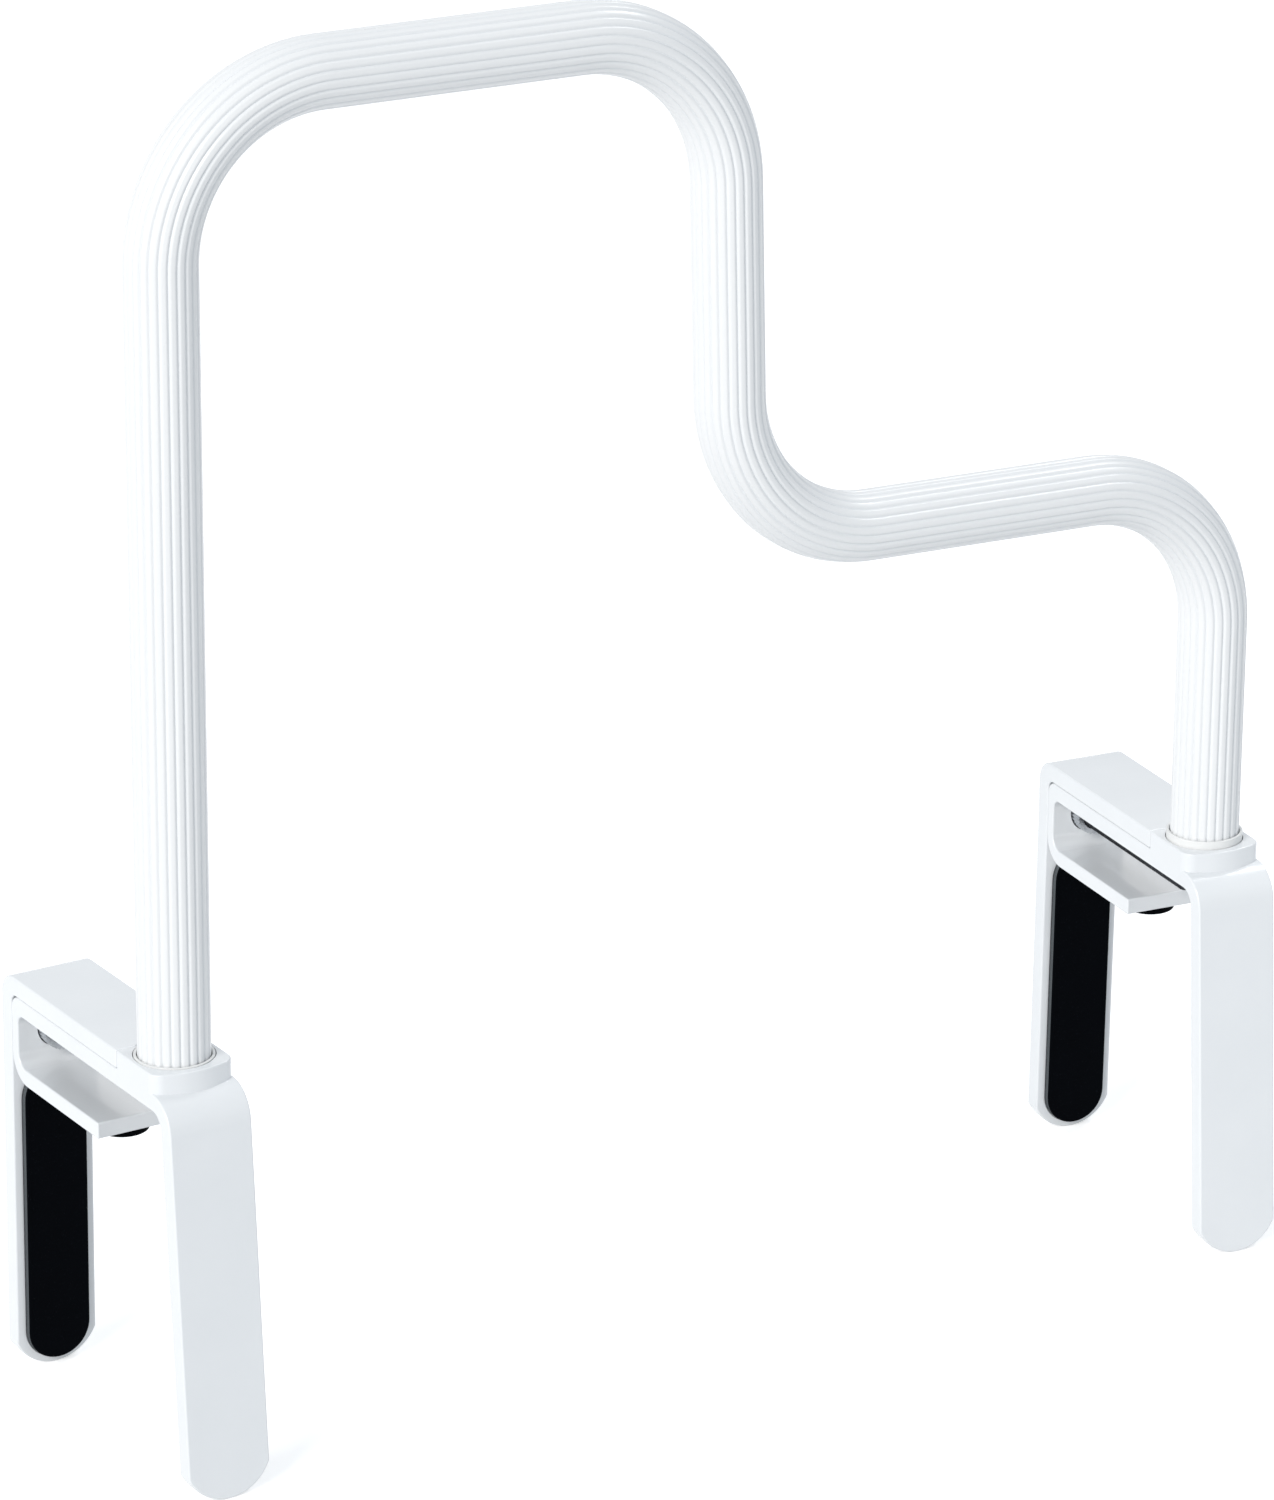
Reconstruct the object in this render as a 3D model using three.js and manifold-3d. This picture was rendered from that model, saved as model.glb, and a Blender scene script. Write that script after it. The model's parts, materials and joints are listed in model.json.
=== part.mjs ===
// Bathtub safety rail: one bent, fluted grip tube on two screw clamps that grip the wall of a bath.
// X runs along the bath wall, Y across it with the front legs at -Y, and Z is up. All sizes are in millimetres.
// Each clamp is drawn about its post: x = 0 and y = 0 on the post's axis, z = 0 on top of the socket boss.
import * as THREE from 'three';
import { mergeVertices } from 'three/addons/utils/BufferGeometryUtils.js';
import Module from 'manifold-3d';

const wasm = await Module();
wasm.setup();

// Driving dimensions of the rail
const tubeDiameter = 24;
const tubeWall = 2;
const fluteCount = 24;
const fluteDepth = 0.7;
const bendRadius = 55;
const postSpacing = 400;
const topBarHeight = 318.5;
const lowBarHeight = 136.5;
const middlePostX = 204;
const topBarDropDeg = 0.5;
const lowBarDropDeg = 1.5;
const middlePostLeanDeg = 1.7;

// Driving dimensions of a clamp
const clampWidth = 29.8;
const armThickness = 6;
const bossRise = 6.6;
const frontReach = 25.5;
const frontLegThickness = 6.5;
const legLength = 145;
const frontSplayDeg = 4.4;
const frontBendRadius = 12;
const frontInnerRadius = 5.5;
const rearLegThickness = 6.8;
const rearSplayDeg = 0.8;
const rearOuterRadius = 8;
const rearInnerRadius = 3.3;
const splayStart = 30;
const legEndRadius = 16.3;
const backWall = 4;
const bayHeight = 18.3;
const shelfThickness = 5.7;
const shelfFront = 25.8;
const returnTopRadius = 4;
const returnBottomRadius = 10;
const bayTopRadius = 3.5;
const bayBottomRadius = 5;
const edgeRound = 0.6;
const cornerRound = 1.2;
const jawTravel = 60;

// Socket, bush, plug and bolt at the foot of a post
const socketFloor = 3;
const bossFront = 17.5;
const bossFrontRadius = 30;
const bossCornerFront = 13.2;
const bossCornerRadius = 5;
const bossShoulder = 12.1;
const bossBackRadius = 14.4;
const bushWall = 1;
const bushHeight = 6;
const plugRise = 18;
const postBoltRadius = 3;
const postBoltReach = 8;
const postBoltHeadFlats = 10;
const postBoltHeadHeight = 4;
const postWasherRadius = 6.5;
const washerThickness = 1.6;

// Clamp screw, insert, washer and retaining ring
const screwRadius = 5;
const screwDrop = 19;
const screwTip = 9;
const screwHeadRadius = 8;
const screwHeadHeight = 6;
const keyFlats = 8;
const keyDepth = 4;
const screwChamfer = 1;
const screwWasherRadius = 10;
const insertRadius = 7.2;
const insertLength = 8.9;
const ringRadius = 8;
const ringThickness = 1.2;
const ringGrooveRadius = 4;
const ringMouth = 5;
const ringPocketDepth = 2.5;

// Rubber pads
const padWidth = 23;
const padProud = 2.5;
const padRecess = 1;
const padRound = 0.9;
const rearPadTop = 34;
const frontPadTop = 43;
const padEndMargin = 2.5;
const rimPadWidth = 18;
const rimPadLength = 50;
const rimPadSetback = 1.8;
const rimPadProud = 3;
const rimPadClearance = 5.7;

// Guide rib under the cover
const ribWidth = 8;
const ribHeight = 2.5;
const ribFront = 17;
const ribBackMargin = 6;

// Clearances and the overrun that cutting tools share
const gap = 0.3;
const overrun = 5;

// Heights that two or more pieces of a clamp share
const armTop = -bossRise;
const armUnder = armTop - armThickness;
const coverTop = 0;
const coverUnder = armTop + gap;
const bayFloor = armUnder - bayHeight;
const shelfUnder = bayFloor - shelfThickness;
const tubeRadius = tubeDiameter / 2;
const boreRadius = tubeRadius - tubeWall;
const socketRadius = tubeRadius + gap;
const bushRadius = socketRadius + bushWall;
const bushSeatRadius = bushRadius + gap;
const socketBottom = armUnder + socketFloor;
const tubeEnd = socketBottom + gap;
const halfWidth = clampWidth / 2;
const rimPadBack = shelfFront + rimPadSetback + rimPadLength;
const jawBack = rimPadBack + rimPadClearance + padProud;
const returnBack = jawBack - gap;
const bayBack = returnBack - backWall;
const screwHeight = -screwDrop;
const frontSplay = THREE.MathUtils.degToRad(frontSplayDeg);
const rearSplay = THREE.MathUtils.degToRad(rearSplayDeg);

// Directions in which an outline is drawn and swept
const sweepAlongX = new THREE.Matrix4().makeBasis(
  new THREE.Vector3(0, 1, 0), new THREE.Vector3(0, 0, 1), new THREE.Vector3(1, 0, 0));
const sweepAlongY = new THREE.Matrix4().makeBasis(
  new THREE.Vector3(-1, 0, 0), new THREE.Vector3(0, 0, 1), new THREE.Vector3(0, 1, 0));

// A geometry with shared corners merged and empty triangles dropped, so that it is one closed skin
function closedSkin(geometry) {
  const bare = geometry.clone();
  bare.deleteAttribute('normal');
  bare.deleteAttribute('uv');
  const merged = mergeVertices(bare, 1e-4);
  const kept = [];
  for (let i = 0; i < merged.index.count; i += 3) {
    const [a, b, c] = [0, 1, 2].map((k) => merged.index.getX(i + k));
    if (a !== b && b !== c && c !== a) kept.push(a, b, c);
  }
  merged.setIndex(kept);
  return merged;
}

// A three.js geometry as a solid that can be joined and cut
function solidOf(geometry) {
  const skin = closedSkin(geometry);
  return new wasm.Manifold(new wasm.Mesh({
    numProp: 3,
    vertProperties: new Float32Array(skin.attributes.position.array),
    triVerts: new Uint32Array(skin.index.array),
  }));
}

// The geometry of a joined or cut solid
function geometryOf(solid) {
  const mesh = solid.getMesh();
  const geometry = new THREE.BufferGeometry();
  geometry.setAttribute('position', new THREE.BufferAttribute(new Float32Array(mesh.vertProperties), 3));
  geometry.setIndex(new THREE.BufferAttribute(new Uint32Array(mesh.triVerts), 1));
  return geometry;
}

// An outline from corners [a, b, radius], with an arc at each corner that has a radius
function roundedOutline(corners) {
  const shape = new THREE.Shape();
  corners.forEach(([a, b, radius = 0], i) => {
    const corner = new THREE.Vector2(a, b);
    const before = new THREE.Vector2(...corners.at(i - 1)).sub(corner).normalize();
    const after = new THREE.Vector2(...corners[(i + 1) % corners.length]).sub(corner).normalize();
    const half = Math.acos(THREE.MathUtils.clamp(before.dot(after), -1, 1)) / 2;
    const start = corner.clone().addScaledVector(before, radius / Math.tan(half));
    if (i === 0) shape.moveTo(start.x, start.y);
    else shape.lineTo(start.x, start.y);
    if (radius === 0) return;
    const middle = before.clone().add(after).normalize();
    const centre = corner.clone().addScaledVector(middle, radius / Math.sin(half));
    const end = corner.clone().addScaledVector(after, radius / Math.tan(half));
    const clockwise = before.cross(after) > 0;
    shape.absarc(centre.x, centre.y, radius, start.clone().sub(centre).angle(),
      end.clone().sub(centre).angle(), clockwise);
  });
  shape.closePath();
  return shape;
}

// A swept outline, centred on its sweep, with its long edges rounded when round is above zero
function sweep(shape, length, round = 0, segments = 6) {
  const geometry = new THREE.ExtrudeGeometry(shape, {
    depth: length - 2 * round,
    bevelEnabled: round > 0,
    bevelThickness: round,
    bevelSize: round,
    bevelOffset: -round,
    bevelSegments: 2,
    curveSegments: segments,
  });
  return geometry.translate(0, 0, round - length / 2);
}

// A turned piece about the Z axis, from a profile of [radius, height] that runs upwards on its outside
function turned(profile, sides = 24) {
  const points = profile.map(([radius, height]) => new THREE.Vector2(radius, height));
  return new THREE.LatheGeometry(points, sides).rotateX(Math.PI / 2);
}

// A plain ring about the Z axis, as a washer or a bush is
function ring(inner, outer, low, high, sides = 24) {
  return turned([[inner, low], [outer, low], [outer, high], [inner, high], [inner, low]], sides);
}

// A plain round bar about the Z axis
function bar(radius, low, high, sides = 24) {
  return turned([[0, low], [radius, low], [radius, high], [0, high]], sides);
}

// A six-sided bar about the Z axis
function hexBar(flats, low, high) {
  return bar(flats / Math.sqrt(3), low, high, 6);
}

// A piece turned about Z laid along the Y axis, with its top towards +Y, at the clamp screw's height
function alongScrew(geometry) {
  return geometry.rotateX(-Math.PI / 2).translate(0, 0, screwHeight);
}

// A stadium outline with its straight sides upright
function stadium(width, length) {
  const radius = width / 2;
  const straight = (length - width) / 2;
  const shape = new THREE.Shape();
  shape.moveTo(radius, -straight);
  shape.lineTo(radius, straight);
  shape.absarc(0, straight, radius, 0, Math.PI);
  shape.lineTo(-radius, -straight);
  shape.absarc(0, -straight, radius, Math.PI, 2 * Math.PI);
  return shape;
}

// Where a splayed leg's face lies at a given height below the boss
function frontFace(z) {
  return -frontReach + Math.tan(frontSplay) * (z - shelfUnder);
}
function rearFace(z) {
  return jawBack + Math.tan(rearSplay) * (-splayStart - z);
}

// The rounded lower end of a leg, as a tool that keeps what lies inside it
function legEnd(length) {
  const corner = -length + legEndRadius - Math.sqrt(legEndRadius ** 2 - halfWidth ** 2);
  const angle = Math.asin(halfWidth / legEndRadius);
  const side = halfWidth + overrun;
  const shape = new THREE.Shape();
  shape.moveTo(side, overrun);
  shape.lineTo(-side, overrun);
  shape.lineTo(-side, corner);
  shape.lineTo(-halfWidth, corner);
  shape.absarc(0, legEndRadius - length, legEndRadius, -Math.PI / 2 - angle, angle - Math.PI / 2);
  shape.lineTo(side, corner);
  const depth = 2 * (jawBack + rearLegThickness + jawTravel);
  return solidOf(sweep(shape, depth, 0, 10).applyMatrix4(sweepAlongY));
}

// Frames on the inner faces of the legs: local y points out of the front leg's face and into the rear leg's
const frontLegFrame = new THREE.Matrix4().makeRotationX(-frontSplay)
  .setPosition(0, frontFace(shelfUnder) + frontLegThickness, shelfUnder);
const rearLegFrame = new THREE.Matrix4().makeRotationX(rearSplay)
  .setPosition(0, jawBack, -splayStart);

// A leg pad, or the recess it lies in, as a stadium between two depths of a leg's face
function padBetween(width, topZ, bottomZ, originZ, low, high, round) {
  const shape = stadium(width, topZ - bottomZ);
  const middle = (topZ + bottomZ) / 2 - originZ;
  return sweep(shape, high - low, round, 10).applyMatrix4(sweepAlongY)
    .translate(0, (low + high) / 2, middle);
}

// The boss in front of the post and beside it: straight sides, rounded corners and a bowed front
function bossOutline() {
  return roundedOutline([
    [halfWidth, bossShoulder],
    [-halfWidth, bossShoulder],
    [-halfWidth, -bossCornerFront, bossCornerRadius],
    [0, -bossFront, bossFrontRadius],
    [halfWidth, -bossCornerFront, bossCornerRadius],
  ]);
}

// Front bracket: front leg, arm, back wall and shelf in one casting, with the socket boss on top
function frontBracket() {
  const low = -legLength - overrun;
  const thick = frontLegThickness / Math.cos(frontSplay);
  const profile = roundedOutline([
    [frontFace(low), low],
    [frontFace(armTop), armTop, frontBendRadius],
    [returnBack, armTop, returnTopRadius],
    [returnBack, shelfUnder, returnBottomRadius],
    [shelfFront, shelfUnder, cornerRound],
    [shelfFront, bayFloor, cornerRound],
    [bayBack, bayFloor, bayBottomRadius],
    [bayBack, armUnder, bayTopRadius],
    [frontFace(armUnder) + thick, armUnder, frontInnerRadius],
    [frontFace(low) + thick, low],
  ]);
  const body = solidOf(sweep(profile, clampWidth, edgeRound).applyMatrix4(sweepAlongX));
  const bossLow = armTop - armThickness / 2;
  const boss = solidOf(sweep(bossOutline(), -bossLow, 0, 4).translate(0, 0, bossLow / 2))
    .add(solidOf(bar(bossBackRadius, bossLow, 0, 48)));
  const ribBack = returnBack - ribBackMargin;
  const rib = solidOf(new THREE.BoxGeometry(ribWidth, ribBack - ribFront, ribHeight + armThickness / 2)
    .translate(0, (ribFront + ribBack) / 2, armTop + ribHeight / 2 - armThickness / 4));
  const socket = solidOf(bar(socketRadius, socketBottom, overrun, 48));
  const bushSeat = solidOf(bar(bushSeatRadius, -bushHeight, overrun, 48));
  const boltHole = solidOf(bar(postBoltRadius + gap, armUnder - overrun, overrun, 24));
  const insertHole = solidOf(alongScrew(bar(insertRadius + gap, returnBack - insertLength - overrun,
    returnBack + overrun)));
  const legRecess = solidOf(padBetween(padWidth + 2 * gap, gap - frontPadTop,
    padEndMargin - gap - legLength, shelfUnder, -padRecess, overrun, 0).applyMatrix4(frontLegFrame));
  const rimRecess = solidOf(rimPadBlock(gap, 0).translate(0, 0, -gap));
  return geometryOf(body.intersect(legEnd(legLength)).add(boss).add(rib)
    .subtract(socket).subtract(bushSeat).subtract(boltHole).subtract(insertHole)
    .subtract(legRecess).subtract(rimRecess));
}

// Rear bracket: cover plate over the arm, and the rear leg, in one casting
function rearBracket() {
  const low = -legLength - overrun;
  const outer = rearLegThickness / Math.cos(rearSplay);
  const front = bossShoulder + gap;
  const profile = roundedOutline([
    [front, coverTop, cornerRound],
    [jawBack + rearLegThickness, coverTop, rearOuterRadius],
    [jawBack + rearLegThickness, -splayStart],
    [rearFace(low) + outer, low],
    [rearFace(low), low],
    [jawBack, -splayStart],
    [jawBack, coverUnder, rearInnerRadius],
    [front, coverUnder],
  ]);
  const body = solidOf(sweep(profile, clampWidth, edgeRound).applyMatrix4(sweepAlongX));
  const postNotch = solidOf(bar(bossBackRadius + gap, armUnder, overrun, 48));
  const grooveBack = returnBack - ribBackMargin + gap;
  const groove = solidOf(new THREE.BoxGeometry(ribWidth + 2 * gap, grooveBack, 2 * (ribHeight + gap))
    .translate(0, grooveBack / 2, armTop));
  const screwHole = solidOf(alongScrew(bar(screwRadius + gap, jawBack - overrun,
    jawBack + rearLegThickness + overrun)));
  const ringPocket = solidOf(alongScrew(bar(ringRadius + 2 * gap, jawBack - overrun,
    jawBack + ringPocketDepth)));
  const padPocket = solidOf(padBetween(padWidth + 2 * gap, gap - rearPadTop,
    padEndMargin - gap - legLength, -splayStart, -overrun, padRecess, 0).applyMatrix4(rearLegFrame));
  return geometryOf(body.intersect(legEnd(legLength)).subtract(postNotch).subtract(groove)
    .subtract(screwHole).subtract(ringPocket).subtract(padPocket));
}

// Rubber pads on the inner faces of the two legs
function frontPad() {
  return padBetween(padWidth, -frontPadTop, padEndMargin - legLength, shelfUnder,
    gap - padRecess, padProud, padRound).applyMatrix4(frontLegFrame);
}
function rearPad() {
  return padBetween(padWidth, -rearPadTop, padEndMargin - legLength, -splayStart,
    -padProud, padRecess - gap, padRound).applyMatrix4(rearLegFrame);
}

// The pad under the shelf that stands on the rim of the bath, grown by a margin for its recess
function rimPadBlock(margin, round) {
  const middle = shelfFront + rimPadSetback + rimPadLength / 2;
  const shape = stadium(rimPadWidth + 2 * margin, rimPadLength + 2 * margin);
  const low = shelfUnder - rimPadProud;
  const high = shelfUnder + padRecess - gap + margin;
  return sweep(shape, high - low, round, 10).translate(0, middle, (low + high) / 2);
}

// Clamp screw: low head with a hexagon socket, a groove for the retaining ring and a chamfered tip
function clampScrew() {
  const headLow = jawBack + rearLegThickness + gap + washerThickness + gap;
  const headHigh = headLow + screwHeadHeight;
  const grooveLow = jawBack + gap;
  const grooveHigh = jawBack + gap + ringThickness + 2 * gap;
  const profile = [
    [0, screwTip], [screwRadius - screwChamfer, screwTip], [screwRadius, screwTip + screwChamfer],
    [screwRadius, grooveLow], [ringGrooveRadius, grooveLow], [ringGrooveRadius, grooveHigh],
    [screwRadius, grooveHigh], [screwRadius, headLow], [screwHeadRadius, headLow],
    [screwHeadRadius, headHigh - screwChamfer], [screwHeadRadius - screwChamfer, headHigh], [0, headHigh],
  ];
  const blank = solidOf(turned(profile));
  const key = solidOf(hexBar(keyFlats, headHigh - keyDepth, headHigh + overrun));
  return alongScrew(geometryOf(blank.subtract(key)));
}

// Washer under the screw's head, retaining ring inside the leg, and threaded insert in the back wall
function screwWasher() {
  const low = jawBack + rearLegThickness + gap;
  return alongScrew(ring(screwRadius + gap, screwWasherRadius, low, low + washerThickness));
}
function retainingRing() {
  const low = jawBack + 2 * gap;
  const whole = solidOf(ring(ringGrooveRadius + gap, ringRadius, low, low + ringThickness));
  const mouth = solidOf(new THREE.BoxGeometry(ringMouth, ringRadius + overrun, ringThickness + overrun)
    .translate(0, -(ringRadius + overrun) / 2, low));
  return alongScrew(geometryOf(whole.subtract(mouth)));
}
function threadedInsert() {
  const high = returnBack - gap;
  return alongScrew(ring(screwRadius + gap, insertRadius, high - insertLength, high));
}

// Pieces that hold a post in its socket
function postBush(rise) {
  return ring(socketRadius, bushRadius, rise - bushHeight, rise, 48);
}
function tubePlug() {
  const radius = boreRadius - gap;
  const hole = postBoltRadius + gap;
  const holeTop = postBoltReach + gap;
  return turned([
    [hole, tubeEnd], [radius, tubeEnd], [radius, plugRise], [0, plugRise],
    [0, holeTop], [hole, holeTop], [hole, tubeEnd],
  ]);
}
function postWasher() {
  const high = armUnder - gap;
  return ring(postBoltRadius + gap, postWasherRadius, high - washerThickness, high);
}
function postBolt() {
  const headTop = armUnder - gap - washerThickness - gap;
  const shank = solidOf(bar(postBoltRadius, headTop - postBoltHeadHeight / 2, postBoltReach, 24));
  const head = solidOf(hexBar(postBoltHeadFlats, headTop - postBoltHeadHeight, headTop));
  return geometryOf(shank.add(head));
}

// The tube's centre line: straight runs joined by bends, with a section only where the line bends or ends
class RailLine extends THREE.Curve {
  constructor(corners, radius, bendSteps) {
    super();
    this.stations = [];
    corners.forEach((corner, i) => {
      const before = corners[i - 1] && corners[i - 1].clone().sub(corner).normalize();
      const after = corners[i + 1] && corners[i + 1].clone().sub(corner).normalize();
      if (!before || !after) {
        this.stations.push([corner, before ? before.negate() : after]);
        return;
      }
      const half = before.angleTo(after) / 2;
      const middle = before.clone().add(after).normalize();
      const centre = corner.clone().addScaledVector(middle, radius / Math.sin(half));
      const spoke = corner.clone().addScaledVector(before, radius / Math.tan(half)).sub(centre);
      const axis = after.clone().cross(before).normalize();
      for (let step = 0; step <= bendSteps; step += 1) {
        const turn = ((Math.PI - 2 * half) * step) / bendSteps;
        const arm = spoke.clone().applyAxisAngle(axis, turn);
        const along = before.clone().negate().applyAxisAngle(axis, turn);
        this.stations.push([centre.clone().add(arm), along]);
      }
    });
  }

  station(share) {
    return this.stations[Math.round(share * (this.stations.length - 1))];
  }

  getPoint(share) {
    return this.station(share)[0].clone();
  }

  getPointAt(share) {
    return this.getPoint(share);
  }

  getTangentAt(share) {
    return this.station(share)[1].clone();
  }
}

// Where two lines in the rail's plane cross, each given by a point and a direction
function crossing(p, u, q, v) {
  const across = u.x * v.z - u.z * v.x;
  const along = ((q.x - p.x) * v.z - (q.z - p.z) * v.x) / across;
  return p.clone().addScaledVector(u, along);
}

// The grip tube's centre line from the left post's foot to the right post's foot
function railLine() {
  const slope = (degrees) => new THREE.Vector3(1, 0, -Math.tan(THREE.MathUtils.degToRad(degrees)));
  const upright = new THREE.Vector3(0, 0, 1);
  const lean = new THREE.Vector3(-Math.tan(THREE.MathUtils.degToRad(middlePostLeanDeg)), 0, 1);
  const leftFoot = new THREE.Vector3(0, 0, tubeEnd);
  const rightFoot = new THREE.Vector3(postSpacing, 0, tubeEnd);
  const topMiddle = new THREE.Vector3(middlePostX / 2, 0, topBarHeight);
  const lowMiddle = new THREE.Vector3((middlePostX + postSpacing) / 2, 0, lowBarHeight);
  const postMiddle = new THREE.Vector3(middlePostX, 0, (topBarHeight + lowBarHeight) / 2);
  const corners = [
    leftFoot,
    crossing(leftFoot, upright, topMiddle, slope(topBarDropDeg)),
    crossing(postMiddle, lean, topMiddle, slope(topBarDropDeg)),
    crossing(postMiddle, lean, lowMiddle, slope(lowBarDropDeg)),
    crossing(rightFoot, upright, lowMiddle, slope(lowBarDropDeg)),
    rightFoot,
  ];
  return new RailLine(corners, bendRadius, 7);
}

// The fluted tube: broad ribs with narrow grooves between them, and a plain round bore
function gripTube() {
  const section = new THREE.Shape();
  const ribShare = 0.35;
  for (let flute = 0; flute < fluteCount; flute += 1) {
    for (const [turn, radius] of [[-ribShare, tubeRadius], [ribShare, tubeRadius], [0.5, tubeRadius - fluteDepth]]) {
      const angle = ((flute + turn) * 2 * Math.PI) / fluteCount;
      const point = [radius * Math.cos(angle), radius * Math.sin(angle)];
      if (flute === 0 && turn === -ribShare) section.moveTo(...point);
      else section.lineTo(...point);
    }
  }
  const bore = new THREE.Path();
  bore.absarc(0, 0, boreRadius, 0, 2 * Math.PI, true);
  section.holes.push(bore);
  const line = railLine();
  return new THREE.ExtrudeGeometry(section, {
    steps: line.stations.length - 1,
    curveSegments: 8,
    extrudePath: line,
  });
}

// Finishes
const finishes = {
  white_tube: { color: 0xf4f6f7, roughness: 0.32, metalness: 0 },
  white_casting: { color: 0xf2f4f6, roughness: 0.22, metalness: 0 },
  black_rubber: { color: 0x0b0b0d, roughness: 0.75, metalness: 0 },
  black_steel: { color: 0x1b1c1f, roughness: 0.4, metalness: 1 },
  zinc_steel: { color: 0xb9bdc2, roughness: 0.35, metalness: 1 },
  white_nylon: { color: 0xf1f2f2, roughness: 0.45, metalness: 0 },
  grey_nylon: { color: 0x8d9196, roughness: 0.55, metalness: 0 },
};

// A named piece with a material of its own
function piece(name, geometry, finish) {
  const mesh = new THREE.Mesh(closedSkin(geometry), new THREE.MeshStandardMaterial(finishes[finish]));
  mesh.name = name;
  return mesh;
}

// One clamp, turned about its post, with the pieces that hold the post, named for its side
function clamp(side, postX, turnDeg, bushRise) {
  const group = new THREE.Group();
  group.position.x = postX;
  group.rotation.z = THREE.MathUtils.degToRad(turnDeg);
  group.add(
    piece(`${side}_front_bracket`, frontBracket(), 'white_casting'),
    piece(`${side}_rear_bracket`, rearBracket(), 'white_casting'),
    piece(`${side}_front_pad`, frontPad(), 'black_rubber'),
    piece(`${side}_rear_pad`, rearPad(), 'black_rubber'),
    piece(`${side}_rim_pad`, rimPadBlock(0, padRound), 'black_rubber'),
    piece(`${side}_clamp_screw`, clampScrew(), 'black_steel'),
    piece(`${side}_screw_washer`, screwWasher(), 'zinc_steel'),
    piece(`${side}_retaining_ring`, retainingRing(), 'black_steel'),
    piece(`${side}_threaded_insert`, threadedInsert(), 'zinc_steel'),
    piece(`${side}_post_bush`, postBush(bushRise), 'white_nylon'),
    piece(`${side}_tube_plug`, tubePlug(), 'grey_nylon'),
    piece(`${side}_post_bolt`, postBolt(), 'zinc_steel'),
    piece(`${side}_post_washer`, postWasher(), 'zinc_steel'),
  );
  return group;
}

// How far each clamp is turned about its post and how proud its bush stands, as in the photograph
const leftTurnDeg = 2.3;
const rightTurnDeg = -4.4;
const leftBushRise = gap;
const rightBushRise = 2.8;

const rail = new THREE.Group();
rail.add(piece('grip_tube', gripTube(), 'white_tube'));
rail.add(clamp('left', 0, leftTurnDeg, leftBushRise));
rail.add(clamp('right', postSpacing, rightTurnDeg, rightBushRise));

// The origin is under the middle of the whole part, level with the lower ends of the front legs
const bounds = new THREE.Box3().setFromObject(rail, true);
const middle = bounds.getCenter(new THREE.Vector3());
rail.position.set(-middle.x, -middle.y, -bounds.min.z);
const group = new THREE.Group();
group.add(rail);
group.updateMatrixWorld(true);

export default group;
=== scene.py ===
# %% [markdown]
# # A bathtub safety rail, dressed in Blender
# The rail is one bent, fluted tube that stands on two screw clamps. Each clamp grips the wall of a bath
# between a fixed front leg and a sliding rear leg, both faced with rubber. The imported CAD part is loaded
# first. It gives the bodies that move, the joints and the place of every node, and each piece made below
# stands for one of those nodes with finer edges, threads, flutes and finishes.

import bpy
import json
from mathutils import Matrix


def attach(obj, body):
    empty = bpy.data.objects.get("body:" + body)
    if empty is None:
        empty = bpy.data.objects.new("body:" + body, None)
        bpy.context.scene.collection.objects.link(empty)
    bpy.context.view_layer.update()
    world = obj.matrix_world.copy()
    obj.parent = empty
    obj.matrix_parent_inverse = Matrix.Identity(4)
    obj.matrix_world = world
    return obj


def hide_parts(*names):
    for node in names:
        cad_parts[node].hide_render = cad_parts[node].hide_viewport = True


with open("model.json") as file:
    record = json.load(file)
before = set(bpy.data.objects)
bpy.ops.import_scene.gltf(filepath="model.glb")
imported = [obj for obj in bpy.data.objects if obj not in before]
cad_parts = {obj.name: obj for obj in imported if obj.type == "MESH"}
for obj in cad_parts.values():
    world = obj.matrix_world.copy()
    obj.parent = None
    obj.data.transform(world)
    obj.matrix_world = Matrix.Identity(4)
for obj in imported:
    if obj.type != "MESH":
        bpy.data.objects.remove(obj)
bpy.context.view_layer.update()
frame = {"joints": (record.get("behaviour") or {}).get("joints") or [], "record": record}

# %% [markdown]
# Sizes are written in millimetres, as on a drawing, and turned into Blender's metres by one factor. Each
# clamp was modelled square about its post and then turned a few degrees, as in the photograph. So every
# clamp piece is made in the clamp's own axes: x = 0 and y = 0 on the post, z = 0 on top of the boss. The
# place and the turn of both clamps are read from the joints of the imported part.

# %% Where the two clamps stand
import json
import math

import bmesh
import bpy
from mathutils import Matrix, Vector

MM = 0.001
joints = {joint["name"]: joint for joint in frame["joints"]}


def clamp_place(side):
    """The matrix that takes a clamp piece in millimetres to its place in the part."""
    post = Vector(joints[f"{side}_clamp_swivel"]["pos_m"])
    along_jaw = joints[f"{side}_jaw_slide"]["axis"]
    turn = math.atan2(-along_jaw[0], along_jaw[1])
    return Matrix.Translation(post) @ Matrix.Rotation(turn, 4, "Z") @ Matrix.Scale(MM, 4)


SIDES = {side: clamp_place(side) for side in ("left", "right")}
POST_SPACING = (SIDES["right"].translation - SIDES["left"].translation).length / MM
for side, place in SIDES.items():
    turn = math.degrees(place.to_euler().z)
    print(f"{side} post at {[round(v, 4) for v in place.translation]}, clamp turned {turn:.2f} degrees")

# %% [markdown]
# ## The camera
# The photograph was taken with a long lens, from the front left and a little above. The angles, the
# distance and the focal length come from fitting a camera to points measured on the photograph, such as the
# edges of the posts and the corners of the clamps. A focal length in pixels turns into millimetres through
# the sensor height. The camera aims at a point between the posts, given from the left post: how far along,
# and how far above its boss.

# %% Camera
VIEW_YAW = math.radians(30.015)
VIEW_PITCH = math.radians(20.585)
VIEW_ROLL = math.radians(0.433)
VIEW_DISTANCE = 2309.09
LENS_IN_PIXELS = 7000
PICTURE_HEIGHT = 1500
AIM_ALONG = 171.27
AIM_ABOVE_BOSS = 73.45
SENSOR = 36
FARTHEST_SEEN = 50

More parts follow.
